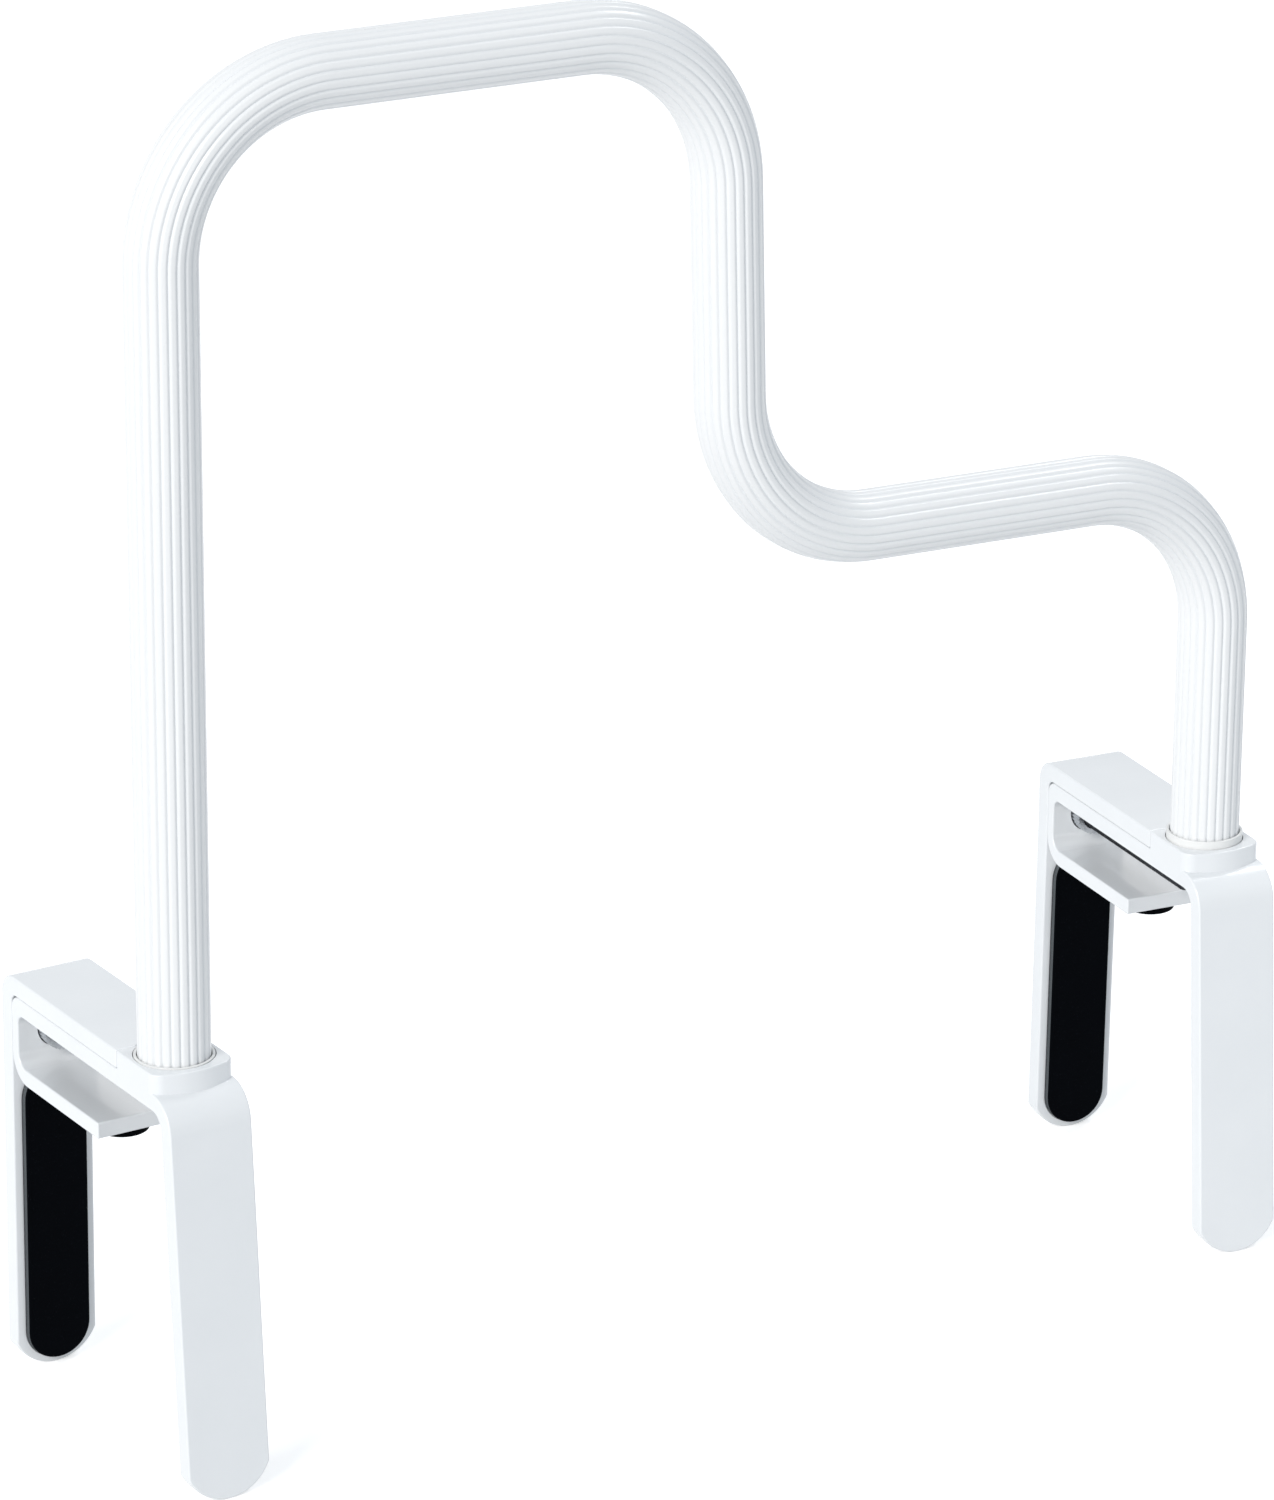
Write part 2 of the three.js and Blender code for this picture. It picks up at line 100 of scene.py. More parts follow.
forward = Vector((math.sin(VIEW_YAW) * math.cos(VIEW_PITCH),
                  math.cos(VIEW_YAW) * math.cos(VIEW_PITCH), -math.sin(VIEW_PITCH)))
level_right = Vector((math.cos(VIEW_YAW), -math.sin(VIEW_YAW), 0))
level_up = level_right.cross(forward)
right = math.cos(VIEW_ROLL) * level_right + math.sin(VIEW_ROLL) * level_up
up = math.cos(VIEW_ROLL) * level_up - math.sin(VIEW_ROLL) * level_right
aim = SIDES["left"].translation + MM * Vector((AIM_ALONG, 0, AIM_ABOVE_BOSS))

camera = bpy.data.objects.new("camera", bpy.data.cameras.new("camera"))
bpy.context.scene.collection.objects.link(camera)
camera.data.sensor_fit = "VERTICAL"
camera.data.sensor_height = SENSOR
camera.data.lens = LENS_IN_PIXELS / PICTURE_HEIGHT * SENSOR
camera.data.clip_end = FARTHEST_SEEN
camera.matrix_world = Matrix.Translation(aim - forward * VIEW_DISTANCE * MM) @ Matrix(
    (right, up, -forward)).transposed().to_4x4()
bpy.context.scene.camera = camera
print(f"lens {camera.data.lens:.0f} mm, camera at {[round(v, 3) for v in camera.location]}")

# %% [markdown]
# ## Node graphs as sums
# Both the finishes and the repeated shapes are node trees. Writing them as sums keeps them readable: a
# `Wire` is one output of a node, and adding or multiplying wires adds the Math nodes that do it. Everything
# else, such as a noise texture or a curve circle, comes from one method, `Graph.node`.

# %% A small language for node graphs
class Wire:
    """One output socket, with the arithmetic of plain numbers."""

    def __init__(self, graph, socket):
        self.graph, self.socket = graph, socket

    def __add__(self, other):
        return self.graph.maths("ADD", self, other)

    def __sub__(self, other):
        return self.graph.maths("SUBTRACT", self, other)

    def __rsub__(self, other):
        return self.graph.maths("SUBTRACT", other, self)

    def __mul__(self, other):
        return self.graph.maths("MULTIPLY", self, other)

    def __truediv__(self, other):
        return self.graph.maths("DIVIDE", self, other)

    def __pow__(self, other):
        return self.graph.maths("POWER", self, other)

    __radd__ = __add__
    __rmul__ = __mul__


class Graph:
    """A shader or geometry node tree."""

    def __init__(self, tree):
        self.tree = tree

    def node(self, kind, settings=None, values=None, output=0):
        """Adds a node: settings first, then inputs by name or number. One output comes back."""
        node = self.tree.nodes.new(kind)
        for key, value in (settings or {}).items():
            if key == "stops":
                self.set_stops(node.color_ramp, value)
            else:
                setattr(node, key, value)
        for key, value in (values or {}).items():
            if isinstance(value, Wire):
                self.tree.links.new(value.socket, node.inputs[key])
            else:
                node.inputs[key].default_value = value
        return Wire(self, node.outputs[output]) if node.outputs else node

    @staticmethod
    def set_stops(ramp, stops):
        while len(ramp.elements) < len(stops):
            ramp.elements.new(1.0)
        for element, (place, level) in zip(ramp.elements, stops):
            element.position = place
            element.color = (level, level, level, 1)

    def maths(self, operation, *values):
        return self.node("ShaderNodeMath", {"operation": operation}, dict(enumerate(values)))


# %% [markdown]
# ## The finishes
# The whole rail is enamelled white, and what tells the pieces apart is how they shine. The castings are
# glossy and the tube is a little softer. Real enamel isn't perfectly flat: it has a slight orange peel, and
# its gloss drifts over a few centimetres. Rubber, black steel, zinc and nylon get the texture that each
# shows up close. All patterns follow Object coordinates, which are metres in the part, so a scale of 1000
# is about a millimetre.

# %% Start of every finish
def finish(name, **fixed):
    """A material with a plain shader whose fixed sockets are set, its graph, and the place on the part."""
    material = bpy.data.materials.new(name)
    material.use_nodes = True
    graph = Graph(material.node_tree)
    shader = material.node_tree.nodes["Principled BSDF"]
    for socket, value in fixed.items():
        shader.inputs[socket.replace("_", " ")].default_value = value
    place = graph.node("ShaderNodeTexCoord", output="Object")
    return material, graph, shader, place


def speckle(graph, place, scale, detail=2.0, roughness=0.5):
    """Smooth random variation between 0 and 1, with features about 1 / scale metres across."""
    return graph.node("ShaderNodeTexNoise", None, {
        "Vector": place, "Scale": scale, "Detail": detail, "Roughness": roughness})


def tint(graph, share, none, full):
    """A colour between those at a share of 0 and of 1, as linear values of red, green and blue."""
    return graph.node("ShaderNodeMix", {"data_type": "RGBA", "clamp_factor": True},
                      {0: share, 6: (*none, 1), 7: (*full, 1)}, output=2)


def connect(graph, shader, colour, roughness, height, depth):
    """Joins what varies over the surface to the shader. Height is raised by depth, in metres."""
    graph.tree.links.new(colour.socket, shader.inputs["Base Color"])
    graph.tree.links.new(roughness.socket, shader.inputs["Roughness"])
    bump = graph.node("ShaderNodeBump", None, {"Height": height, "Distance": depth, "Strength": 1.0})
    graph.tree.links.new(bump.socket, shader.inputs["Normal"])


# %% White enamel on the castings, and on the tube with painted shade greying its grooves
ENAMEL_PEEL_DEPTH = 0.00002


def white_casting():
    material, graph, shader, place = finish("white_casting", Coat_Weight=0.35, Coat_Roughness=0.06, IOR=1.5)
    peel = speckle(graph, place, scale=700, detail=1.5)
    drift = speckle(graph, place, scale=35, detail=3.0)
    colour = tint(graph, drift, none=(0.79, 0.81, 0.83), full=(0.85, 0.865, 0.88))
    connect(graph, shader, colour, roughness=0.17 + 0.1 * drift, height=peel, depth=ENAMEL_PEEL_DEPTH)
    return material


def white_tube():
    material, graph, shader, place = finish("white_tube", Coat_Weight=0.2, Coat_Roughness=0.12, IOR=1.48)
    groove = graph.node("ShaderNodeAttribute", {"attribute_name": "groove"}, output="Fac")
    drift = speckle(graph, place, scale=30, detail=3.0)
    shade_mottle = speckle(graph, place, scale=260, detail=4.0, roughness=0.6)
    peel = speckle(graph, place, scale=900, detail=1.5)
    # Painted shade: the deeper a point lies in its groove, the greyer it is tinted, mottled by noise,
    # standing in for the shade that falls in the grooves.
    shade = groove * (0.55 + 0.45 * shade_mottle)
    colour = tint(graph, shade, none=(0.845, 0.85, 0.855), full=(0.785, 0.805, 0.82))
    roughness = 0.24 + 0.1 * drift + 0.2 * shade
    connect(graph, shader, colour, roughness, height=peel, depth=ENAMEL_PEEL_DEPTH)
    return material


# %% [markdown]
# The photograph shows the faces of the rubber pads nearly black, with a greyer rim round them. Each pad
# carries an attribute that is 1 on its rim, and there the rubber is painted greyer, a painted highlight for
# the light the rounded rim catches.

# %% Black rubber
def black_rubber():
    material, graph, shader, place = finish("black_rubber", IOR=1.45, Specular_IOR_Level=0.02)
    wall = graph.node("ShaderNodeAttribute", {"attribute_name": "wall"}, output="Fac")
    pebble = graph.node("ShaderNodeTexVoronoi", {"feature": "SMOOTH_F1"},
                        {"Vector": place, "Scale": 1400, "Smoothness": 0.6})
    grain = speckle(graph, place, scale=2600)
    bloom = speckle(graph, place, scale=90, detail=5.0, roughness=0.65)
    face = tint(graph, bloom, none=(0.0006, 0.0009, 0.0016), full=(0.002, 0.0026, 0.004))
    # Painted highlight: the pad's rim is coloured grey, standing in for the light that its rounded edge
    # catches.
    rim = (0.11, 0.12, 0.13, 1)
    colour = graph.node("ShaderNodeMix", {"data_type": "RGBA"},
                        {0: wall * (0.7 + 0.3 * bloom), 6: face, 7: rim}, output=2)
    connect(graph, shader, colour, roughness=0.5 + 0.25 * bloom, height=pebble + 0.5 * grain, depth=0.00005)
    return material


# %% Black steel, zinc plate and nylon
def black_steel():
    material, graph, shader, place = finish("black_steel", Metallic=1.0)
    wear = speckle(graph, place, scale=420, detail=5.0, roughness=0.7)
    grain = speckle(graph, place, scale=2200, detail=3.0)
    rubbed = graph.node("ShaderNodeValToRGB", {"stops": ((0.55, 0.0), (0.75, 1.0))}, {"Fac": wear})
    colour = tint(graph, rubbed, none=(0.035, 0.037, 0.042), full=(0.12, 0.125, 0.135))
    connect(graph, shader, colour, roughness=0.3 + 0.25 * wear, height=grain, depth=0.00002)
    return material


def zinc_steel():
    material, graph, shader, place = finish("zinc_steel", Metallic=1.0)
    spangle = graph.node("ShaderNodeTexVoronoi", None, {"Vector": place, "Scale": 900}, output="Color")
    grey = graph.node("ShaderNodeRGBToBW", None, {"Color": spangle})
    grain = speckle(graph, place, scale=1800, detail=3.0)
    colour = tint(graph, grey, none=(0.48, 0.5, 0.53), full=(0.62, 0.64, 0.66))
    connect(graph, shader, colour, roughness=0.25 + 0.15 * grey, height=grain, depth=0.00001)
    return material


def nylon(name, dark, light):
    material, graph, shader, place = finish(name, IOR=1.53)
    flow = speckle(graph, place, scale=160, detail=3.0)
    grain = speckle(graph, place, scale=1500, detail=2.0)
    colour = tint(graph, flow, none=dark, full=light)
    connect(graph, shader, colour, roughness=0.35 + 0.15 * flow, height=grain, depth=0.00002)
    return material


FINISHES = {
    "white_casting": white_casting(),
    "white_tube": white_tube(),
    "black_rubber": black_rubber(),
    "black_steel": black_steel(),
    "zinc_steel": zinc_steel(),
    "white_nylon": nylon("white_nylon", dark=(0.80, 0.80, 0.79), light=(0.86, 0.86, 0.85)),
    "grey_nylon": nylon("grey_nylon", dark=(0.23, 0.24, 0.25), light=(0.28, 0.29, 0.3)),
}
print("finishes:", ", ".join(FINISHES))

# %% [markdown]
# ## Tools for the plain solids
# A casting or a pad starts as an outline with rounded corners that is pushed through space, and a washer or
# a bush as a profile that is turned about an axis. Solids are joined and cut with the Boolean modifier, and
# the Bevel modifier then rounds every sharp edge at once, as tumbling and enamel do on the real casting.

# %% Outlines and meshes
ARC_STEP = math.radians(6)
TURNED_SIDES = 96
ON_AXIS = 1e-6


def rounded(corners):
    """The points of an outline from corners (a, b, radius), with an arc at each corner that has a radius."""
    points = []
    for i, (a, b, *radius) in enumerate(corners):
        corner = Vector((a, b))
        if not radius:
            points.append(corner)
            continue
        before = (Vector(corners[i - 1][:2]) - corner).normalized()
        after = (Vector(corners[(i + 1) % len(corners)][:2]) - corner).normalized()
        half = before.angle(after) / 2
        centre = corner + (before + after).normalized() * radius[0] / math.sin(half)
        start = corner + before * radius[0] / math.tan(half) - centre
        sweep = (math.pi - 2 * half) * (1 if before.x * after.y < before.y * after.x else -1)
        steps = max(2, math.ceil(abs(sweep) / ARC_STEP))
        points += [centre + Matrix.Rotation(sweep * k / steps, 2) @ start for k in range(steps + 1)]
    return points


def new_object(name, mesh):
    thing = bpy.data.objects.new(name, mesh)
    bpy.context.scene.collection.objects.link(thing)
    return thing


def object_from(name, shape):
    """A new object from a bmesh, with its faces pointing outwards."""
    bmesh.ops.recalc_face_normals(shape, faces=shape.faces)
    mesh = bpy.data.meshes.new(name)
    shape.to_mesh(mesh)
    shape.free()
    return new_object(name, mesh)


def prism(name, outline, axis, low, high):
    """An outline pushed along an axis. Its points are (y, z) for X, (x, z) for Y and (x, y) for Z."""
    at = "XYZ".index(axis)
    shape = bmesh.new()
    ends = []
    for level in (low, high):
        ring = []
        for a, b in outline:
            place = [a, b]
            place.insert(at, level)
            ring.append(shape.verts.new(place))
        ends.append(ring)
        shape.faces.new(ring)
    for i in range(len(outline)):
        shape.faces.new((ends[0][i - 1], ends[0][i], ends[1][i], ends[1][i - 1]))
    return object_from(name, shape)


def turned(name, profile, sides=TURNED_SIDES):
    """A profile of (radius, height) turned about Z. It starts and ends on the axis, or closes on itself."""
    shape = bmesh.new()
    rings = []
    for radius, height in profile:
        count = sides if radius > ON_AXIS else 1
        rings.append([shape.verts.new((radius * math.cos(2 * math.pi * k / count),
                                       radius * math.sin(2 * math.pi * k / count), height))
                      for k in range(count)])
    closed = len(rings[0]) > 1
    for i in range(0 if closed else 1, len(rings)):
        below, above = rings[i - 1], rings[i]
        for k in range(sides):
            corners = [below[k % len(below)], below[(k + 1) % len(below)],
                       above[(k + 1) % len(above)], above[k % len(above)]]
            corners = list(dict.fromkeys(corners))
            if len(corners) > 2:
                shape.faces.new(corners)
    return object_from(name, shape)


# %% Joining, cutting and rounding
SHARP_ANGLE = math.radians(32)
FLAT_ANGLE = math.radians(0.6)
DOUBLES = 1e-3
WELD = 0.002


def settle(thing):
    """Applies an object's modifiers, so that what is left is a plain mesh."""
    evaluated = thing.evaluated_get(bpy.context.evaluated_depsgraph_get())
    mesh = bpy.data.meshes.new_from_object(evaluated)
    thing.modifiers.clear()
    thing.data = mesh
    return thing


def combine(thing, operation, *tools):
    """Joins tools to a solid, cuts them out of it, or keeps what lies inside them."""
    for tool in tools:
        modifier = thing.modifiers.new(operation, "BOOLEAN")
        modifier.operation = operation
        modifier.solver = "EXACT"
        modifier.object = tool
        settle(thing)
        bpy.data.objects.remove(tool)
    return thing


def soften(thing, width, segments=4):
    """Merges faces that lie in one plane, then rounds the sharp edges."""
    shape = bmesh.new()
    shape.from_mesh(thing.data)
    bmesh.ops.remove_doubles(shape, verts=shape.verts, dist=DOUBLES)
    bmesh.ops.dissolve_limit(shape, angle_limit=FLAT_ANGLE, verts=shape.verts, edges=shape.edges)
    shape.to_mesh(thing.data)
    shape.free()
    modifier = thing.modifiers.new("edges", "BEVEL")
    modifier.width = width
    modifier.segments = segments
    modifier.limit_method = "ANGLE"
    modifier.angle_limit = SHARP_ANGLE
    modifier.use_clamp_overlap = False
    modifier.miter_outer = "MITER_ARC"
    return settle(thing)


def weld(thing):
    """Joins points that a cut has left a hair apart, so that the mesh is closed."""
    shape = bmesh.new()
    shape.from_mesh(thing.data)
    bmesh.ops.remove_doubles(shape, verts=shape.verts, dist=WELD)
    bmesh.ops.dissolve_degenerate(shape, edges=shape.edges, dist=WELD)
    bmesh.ops.delete(shape, geom=[edge for edge in shape.edges if edge.is_wire], context="EDGES")
    shape.to_mesh(thing.data)
    shape.free()


def keep(thing, node, body, place):
    """Places and shades a finished piece, and says which node it stands for and what it rides on."""
    weld(thing)
    thing.data.transform(place)
    thing.data.shade_smooth()
    thing.data.set_sharp_from_angle(angle=SHARP_ANGLE)
    modifier = thing.modifiers.new("flat faces stay flat", "WEIGHTED_NORMAL")
    modifier.keep_sharp = True
    settle(thing)
    slot = next(s["material_slot"] for s in frame["record"]["subparts"] if s["node"] == node)
    thing.data.materials.clear()
    thing.data.materials.append(FINISHES[slot])
    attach(thing, body)
    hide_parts(node)
    triangles = sum(len(face.vertices) - 2 for face in thing.data.polygons)
    print(f"{thing.name}: {triangles} triangles, for {node}")
    return thing


# %% [markdown]
# ## Flutes, by Geometry Nodes
# The grip tube has 24 shallow grooves that follow it round every bend, and the insert and the screw head
# are knurled. All three follow one rule: a circle is dented by a power of a cosine, and swept along a line.
# A second circle makes the bore, and the ring between the two is closed at both ends afterwards. A tree
# makes that shape once, with its sizes as inputs. How deep a point lies in its groove is stored as an
# attribute too, so that the tube's finish can paint shade into the grooves, a greyer tint for the shade
# there.

# %% The fluting tree
def fluting_tree():
    tree = bpy.data.node_groups.new("fluting", "GeometryNodeTree")
    interface = tree.interface
    interface.new_socket("Line", in_out="INPUT", socket_type="NodeSocketGeometry")
    for name, kind in (("Flutes", "Int"), ("Radius", "Float"), ("Depth", "Float"), ("Sharpness", "Float"),
                       ("Bore radius", "Float"), ("Points round", "Int"), ("Finish", "Material")):
        interface.new_socket(name, in_out="INPUT", socket_type="NodeSocket" + kind)
    interface.new_socket("Mesh", in_out="OUTPUT", socket_type="NodeSocketGeometry")
    graph = Graph(tree)
    given = tree.nodes.new("NodeGroupInput")
    value = {socket.name: Wire(graph, socket) for socket in given.outputs if socket.name}

    turn = graph.node("GeometryNodeSplineParameter", output="Factor") * (2 * math.pi)
    wave = graph.maths("COSINE", turn * value["Flutes"])
    groove = (0.5 + 0.5 * wave) ** value["Sharpness"]
    circle = graph.node("GeometryNodeCurvePrimitiveCircle", {"mode": "RADIUS"},
                        {"Resolution": value["Points round"], "Radius": value["Radius"]})
    marked = graph.node("GeometryNodeStoreNamedAttribute", {"data_type": "FLOAT", "domain": "POINT"},
                        {"Geometry": circle, "Name": "groove", "Value": groove})
    shrink = 1 - groove * value["Depth"] / value["Radius"]
    dented = graph.node("ShaderNodeVectorMath", {"operation": "SCALE"},
                        {0: graph.node("GeometryNodeInputPosition"), "Scale": shrink})
    section = graph.node("GeometryNodeSetPosition", None, {"Geometry": marked, "Position": dented})
    skin = graph.node("GeometryNodeCurveToMesh", None, {"Curve": value["Line"], "Profile Curve": section})
    bore = graph.node("GeometryNodeCurvePrimitiveCircle", {"mode": "RADIUS"},
                      {"Resolution": value["Points round"], "Radius": value["Bore radius"]})
    wall = graph.node("GeometryNodeCurveToMesh", None, {"Curve": value["Line"], "Profile Curve": bore})
    both = graph.node("GeometryNodeJoinGeometry", None, {"Geometry": skin})
    tree.links.new(wall.socket, both.socket.node.inputs["Geometry"])
    real = graph.node("GeometryNodeRealizeInstances", None, {"Geometry": both})
    coated = graph.node("GeometryNodeSetMaterial", None, {"Geometry": real, "Material": value["Finish"]})
    out = tree.nodes.new("NodeGroupOutput")
    tree.links.new(coated.socket, out.inputs["Mesh"])
    return tree


FLUTING = fluting_tree()


def run_tree(thing, tree, **inputs):
    """Adds a Geometry Nodes tree to an object, sets its inputs by their identifiers, and applies it."""
    modifier = thing.modifiers.new(tree.name, "NODES")
    modifier.node_group = tree
    for item in tree.interface.items_tree:
        if item.in_out == "INPUT" and item.name.replace(" ", "_") in inputs:
            modifier[item.identifier] = inputs[item.name.replace(" ", "_")]
    mesh = bpy.data.meshes.new_from_object(thing.evaluated_get(bpy.context.evaluated_depsgraph_get()))
    bpy.data.objects.remove(thing)
    return mesh


def line_object(name, stations):
    """A curve of straight pieces through the stations."""
    curve = bpy.data.curves.new(name, "CURVE")
    curve.dimensions = "3D"
    spline = curve.splines.new("POLY")
    spline.points.add(len(stations) - 1)
    for point, station in zip(spline.points, stations):
        point.co = (*station, 1)
    return new_object(name, curve)


def fluted(name, stations, **sizes):
    """A fluted pipe along the stations, closed at both ends between its skin and its bore."""
    mesh = run_tree(line_object(name + "_line", stations), FLUTING, **sizes)
    mesh.name = name
    shape = bmesh.new()
    shape.from_mesh(mesh)
    open_edges = [edge for edge in shape.edges if edge.is_boundary]
    between = (sizes["Radius"] + sizes["Bore_radius"]) / 2
    first, last = Vector(stations[0]), Vector(stations[-1])
    for end, far_end in ((first, last), (last, first)):
        near = [edge for edge in open_edges
                if (edge.verts[0].co - end).length < (edge.verts[0].co - far_end).length]
        rim = {point for edge in near for point in edge.verts}
        inner = {point for point in rim if (point.co - end).length < between}
        beside = {point: min(inner, key=lambda other: (other.co - point.co).length) for point in rim - inner}
        for a, b in (edge.verts for edge in near):
            if a in beside:
                shape.faces.new((a, b, beside[b], beside[a]))
    bmesh.ops.recalc_face_normals(shape, faces=shape.faces)
    shape.to_mesh(mesh)
    shape.free()
    return new_object(name, mesh)


# %% [markdown]
# ## The grip tube
# The tube is one length with four bends: up from the left clamp, across the high bar, down the middle post,
# along the low bar and down into the right clamp. The bars drop and the middle post leans by a degree or
# so, as on the real one. The line is worked out from its corners, and each corner becomes an arc of equal
# steps.

# %% Grip tube
TUBE_RADIUS = 11.99
TUBE_BORE_RADIUS = 10.0
FLUTES = 24
FLUTE_DEPTH = 0.5
FLUTE_SHARPNESS = 4.0
POINTS_PER_FLUTE = 12
BEND_RADIUS = 55
TUBE_FOOT = -9.3
TOP_BAR_HEIGHT = 318.5
LOW_BAR_HEIGHT = 136.5
MIDDLE_POST = 204
TOP_BAR_DROP = math.tan(math.radians(0.5))
LOW_BAR_DROP = math.tan(math.radians(1.5))
MIDDLE_POST_LEAN = math.tan(math.radians(1.7))
BEND_STEPS = 28


def meeting(slope, through, height_there, post_x, lean, post_height):
    """Where a bar z = height_there - slope (x - through) meets a post x = post_x - lean (z - post_height)."""
    z = (height_there - slope * (post_x + lean * post_height - through)) / (1 - slope * lean)
    return Vector((post_x - lean * (z - post_height), z))


def tube_corners():
    top = (TOP_BAR_DROP, MIDDLE_POST / 2, TOP_BAR_HEIGHT)
    low = (LOW_BAR_DROP, (MIDDLE_POST + POST_SPACING) / 2, LOW_BAR_HEIGHT)
    leaning = (MIDDLE_POST, MIDDLE_POST_LEAN, (TOP_BAR_HEIGHT + LOW_BAR_HEIGHT) / 2)
    return [Vector((0, TUBE_FOOT)), meeting(*top, 0, 0, 0), meeting(*top, *leaning),
            meeting(*low, *leaning), meeting(*low, POST_SPACING, 0, 0), Vector((POST_SPACING, TUBE_FOOT))]


def bent_line(corners, radius, steps):
    """Points along straight runs that are joined by arcs."""
    points = [corners[0]]
    for before, corner, after in zip(corners, corners[1:], corners[2:]):
        back, on = (before - corner).normalized(), (after - corner).normalized()
        half = back.angle(on) / 2
        centre = corner + (back + on).normalized() * radius / math.sin(half)
        spoke = corner + back * radius / math.tan(half) - centre
        sweep = (math.pi - 2 * half) * (1 if back.x * on.y < back.y * on.x else -1)
        points += [centre + Matrix.Rotation(sweep * k / steps, 2) @ spoke for k in range(steps + 1)]
    return points + [corners[-1]]


stations = [Vector((x, 0, z)) for x, z in bent_line(tube_corners(), BEND_RADIUS, BEND_STEPS)]
tube = fluted("fluted_tube", stations, Flutes=FLUTES, Radius=TUBE_RADIUS, Depth=FLUTE_DEPTH,
              Sharpness=FLUTE_SHARPNESS, Bore_radius=TUBE_BORE_RADIUS,
              Points_round=FLUTES * POINTS_PER_FLUTE, Finish=FINISHES["white_tube"])
keep(tube, "grip_tube", "rail", Matrix.Translation(SIDES["left"].translation) @ Matrix.Scale(MM, 4))

# %% [markdown]
# ## The castings
# The front casting is one C-shaped arm: the front leg hangs from it, the arm runs back under the cover, and
# the return comes forward again as the shelf that rests on the bath. The boss on top takes the foot of the
# post. The rear casting is the cover that slides on the arm, with the rear leg. Both are the same width, so
# each starts as its side view pushed sideways, is trimmed to the rounded leg end, and has its edges
# rounded. The holes are cut last, because their edges stay crisp where a tool has machined them.

# %% Shared sizes of the clamp
HALF_WIDTH = 14.9
ARM_TOP = -6.6
ARM_UNDER = -12.6
BAY_FLOOR = -30.9
SHELF_UNDER = -36.6
LEG_LENGTH = 145
LEG_END_RADIUS = 16.3
FRONT_REACH = 25.5
FRONT_SPLAY = math.radians(4.4)
FRONT_THICKNESS = 6.5
JAW_BACK = 85.8
REAR_THICKNESS = 6.8
REAR_SPLAY = math.radians(0.8)
SPLAY_START = -30
SHELF_FRONT = 25.8
BOSS_SHOULDER = 12.1
SCREW_HEIGHT = -19
GAP = 0.3
SEAM = 0.15
BEYOND = 5
RETURN_THICKNESS = 4
RETURN_BACK = JAW_BACK - GAP
BAY_BACK = RETURN_BACK - RETURN_THICKNESS
BOSS_RADIUS = 14.4
RIB_HALF_WIDTH = 4
RIB_RISE = 2.5
RIB_FRONT = 17
RIB_SETBACK = 6
RIB_BACK = RETURN_BACK - RIB_SETBACK
CASTING_EDGE = 0.65
BOSS_EDGE = 0.5
SCREW_RADIUS = 5
RING_RADIUS = 8


def front_face(z):
    return -FRONT_REACH + math.tan(FRONT_SPLAY) * (z - SHELF_UNDER)


def rear_face(z):
    return JAW_BACK + math.tan(REAR_SPLAY) * (SPLAY_START - z)


LEG_TOOL_REACH = (-100, 200)


def leg_end():
    """A tool as wide as the leg whose lower end is an arc. It reaches past the clamp, front and back."""
    centre = LEG_END_RADIUS - LEG_LENGTH
    half = math.asin(HALF_WIDTH / LEG_END_RADIUS)
    corner = centre - math.sqrt(LEG_END_RADIUS ** 2 - HALF_WIDTH ** 2)
    side = HALF_WIDTH + BEYOND
    steps = math.ceil(2 * half / ARC_STEP)
    arc = [(LEG_END_RADIUS * math.sin(a), centre - LEG_END_RADIUS * math.cos(a))
           for a in (half - 2 * half * k / steps for k in range(steps + 1))]
    outline = [(-side, corner), (-side, BEYOND), (side, BEYOND), (side, corner)] + arc
    return prism("leg_end", outline, "Y", *LEG_TOOL_REACH)


ALONG_SCREW = Matrix.Translation((0, 0, SCREW_HEIGHT)) @ Matrix.Rotation(-math.pi / 2, 4, "X")


def hole_down(radius, low, high):
    """A round tool on the post's axis."""
    return turned("hole", [(0, low), (radius, low), (radius, high), (0, high)])


def hole_along_screw(radius, low, high):
    """A round tool on the clamp screw's axis."""
    tool = hole_down(radius, low, high)
    tool.data.transform(ALONG_SCREW)
    return tool


STADIUM_STEPS = 24


def stadium(half_width, half_length):
    """The points of a stadium with its long sides upright."""
    straight = half_length - half_width
    arc = [k * math.pi / STADIUM_STEPS for k in range(STADIUM_STEPS + 1)]
    top = [(half_width * math.cos(a), straight + half_width * math.sin(a)) for a in arc]
    return top + [(-x, -z) for x, z in top]


# %% [markdown]
# The pads are let into the legs and the shelf by a millimetre, so that they can't slide off. Each one is a
# stadium with rounded edges, and a slightly larger stadium cuts its recess, so that the two always fit.

# %% Rubber pads
PAD_HALF_WIDTH = 11.5
PAD_PROUD = 2.5
PAD_RECESS = 1
PAD_MARGIN = 2.5
PAD_EDGE = 0.9
FRONT_PAD_TOP = -43
REAR_PAD_TOP = -34
RIM_PAD_PROUD = 3
RIM_PAD_SETBACK = 1.8
RIM_PAD_FRONT = SHELF_FRONT + RIM_PAD_SETBACK
RIM_PAD_LENGTH = 50
RIM_PAD_HALF_WIDTH = 9
FRONT_CORNER_INSIDE = (0, front_face(SHELF_UNDER) + FRONT_THICKNESS, SHELF_UNDER)
REAR_CORNER_INSIDE = (0, JAW_BACK, SPLAY_START)
FRONT_FRAME = Matrix.Translation(FRONT_CORNER_INSIDE) @ Matrix.Rotation(-FRONT_SPLAY, 4, "X")
REAR_FRAME = Matrix.Translation(REAR_CORNER_INSIDE) @ Matrix.Rotation(REAR_SPLAY, 4, "X")


def leg_pad(name, frame_of_leg, top, origin, low, high, grow=0.0):
    """A pad, or the cutter for its recess, between two depths of a leg's inner face."""
    bottom = PAD_MARGIN - LEG_LENGTH
    outline = stadium(PAD_HALF_WIDTH + grow, (top - bottom) / 2 + grow)
    pad = prism(name, outline, "Y", low, high)
    pad.data.transform(frame_of_leg @ Matrix.Translation((0, 0, (top + bottom) / 2 - origin)))
    return pad


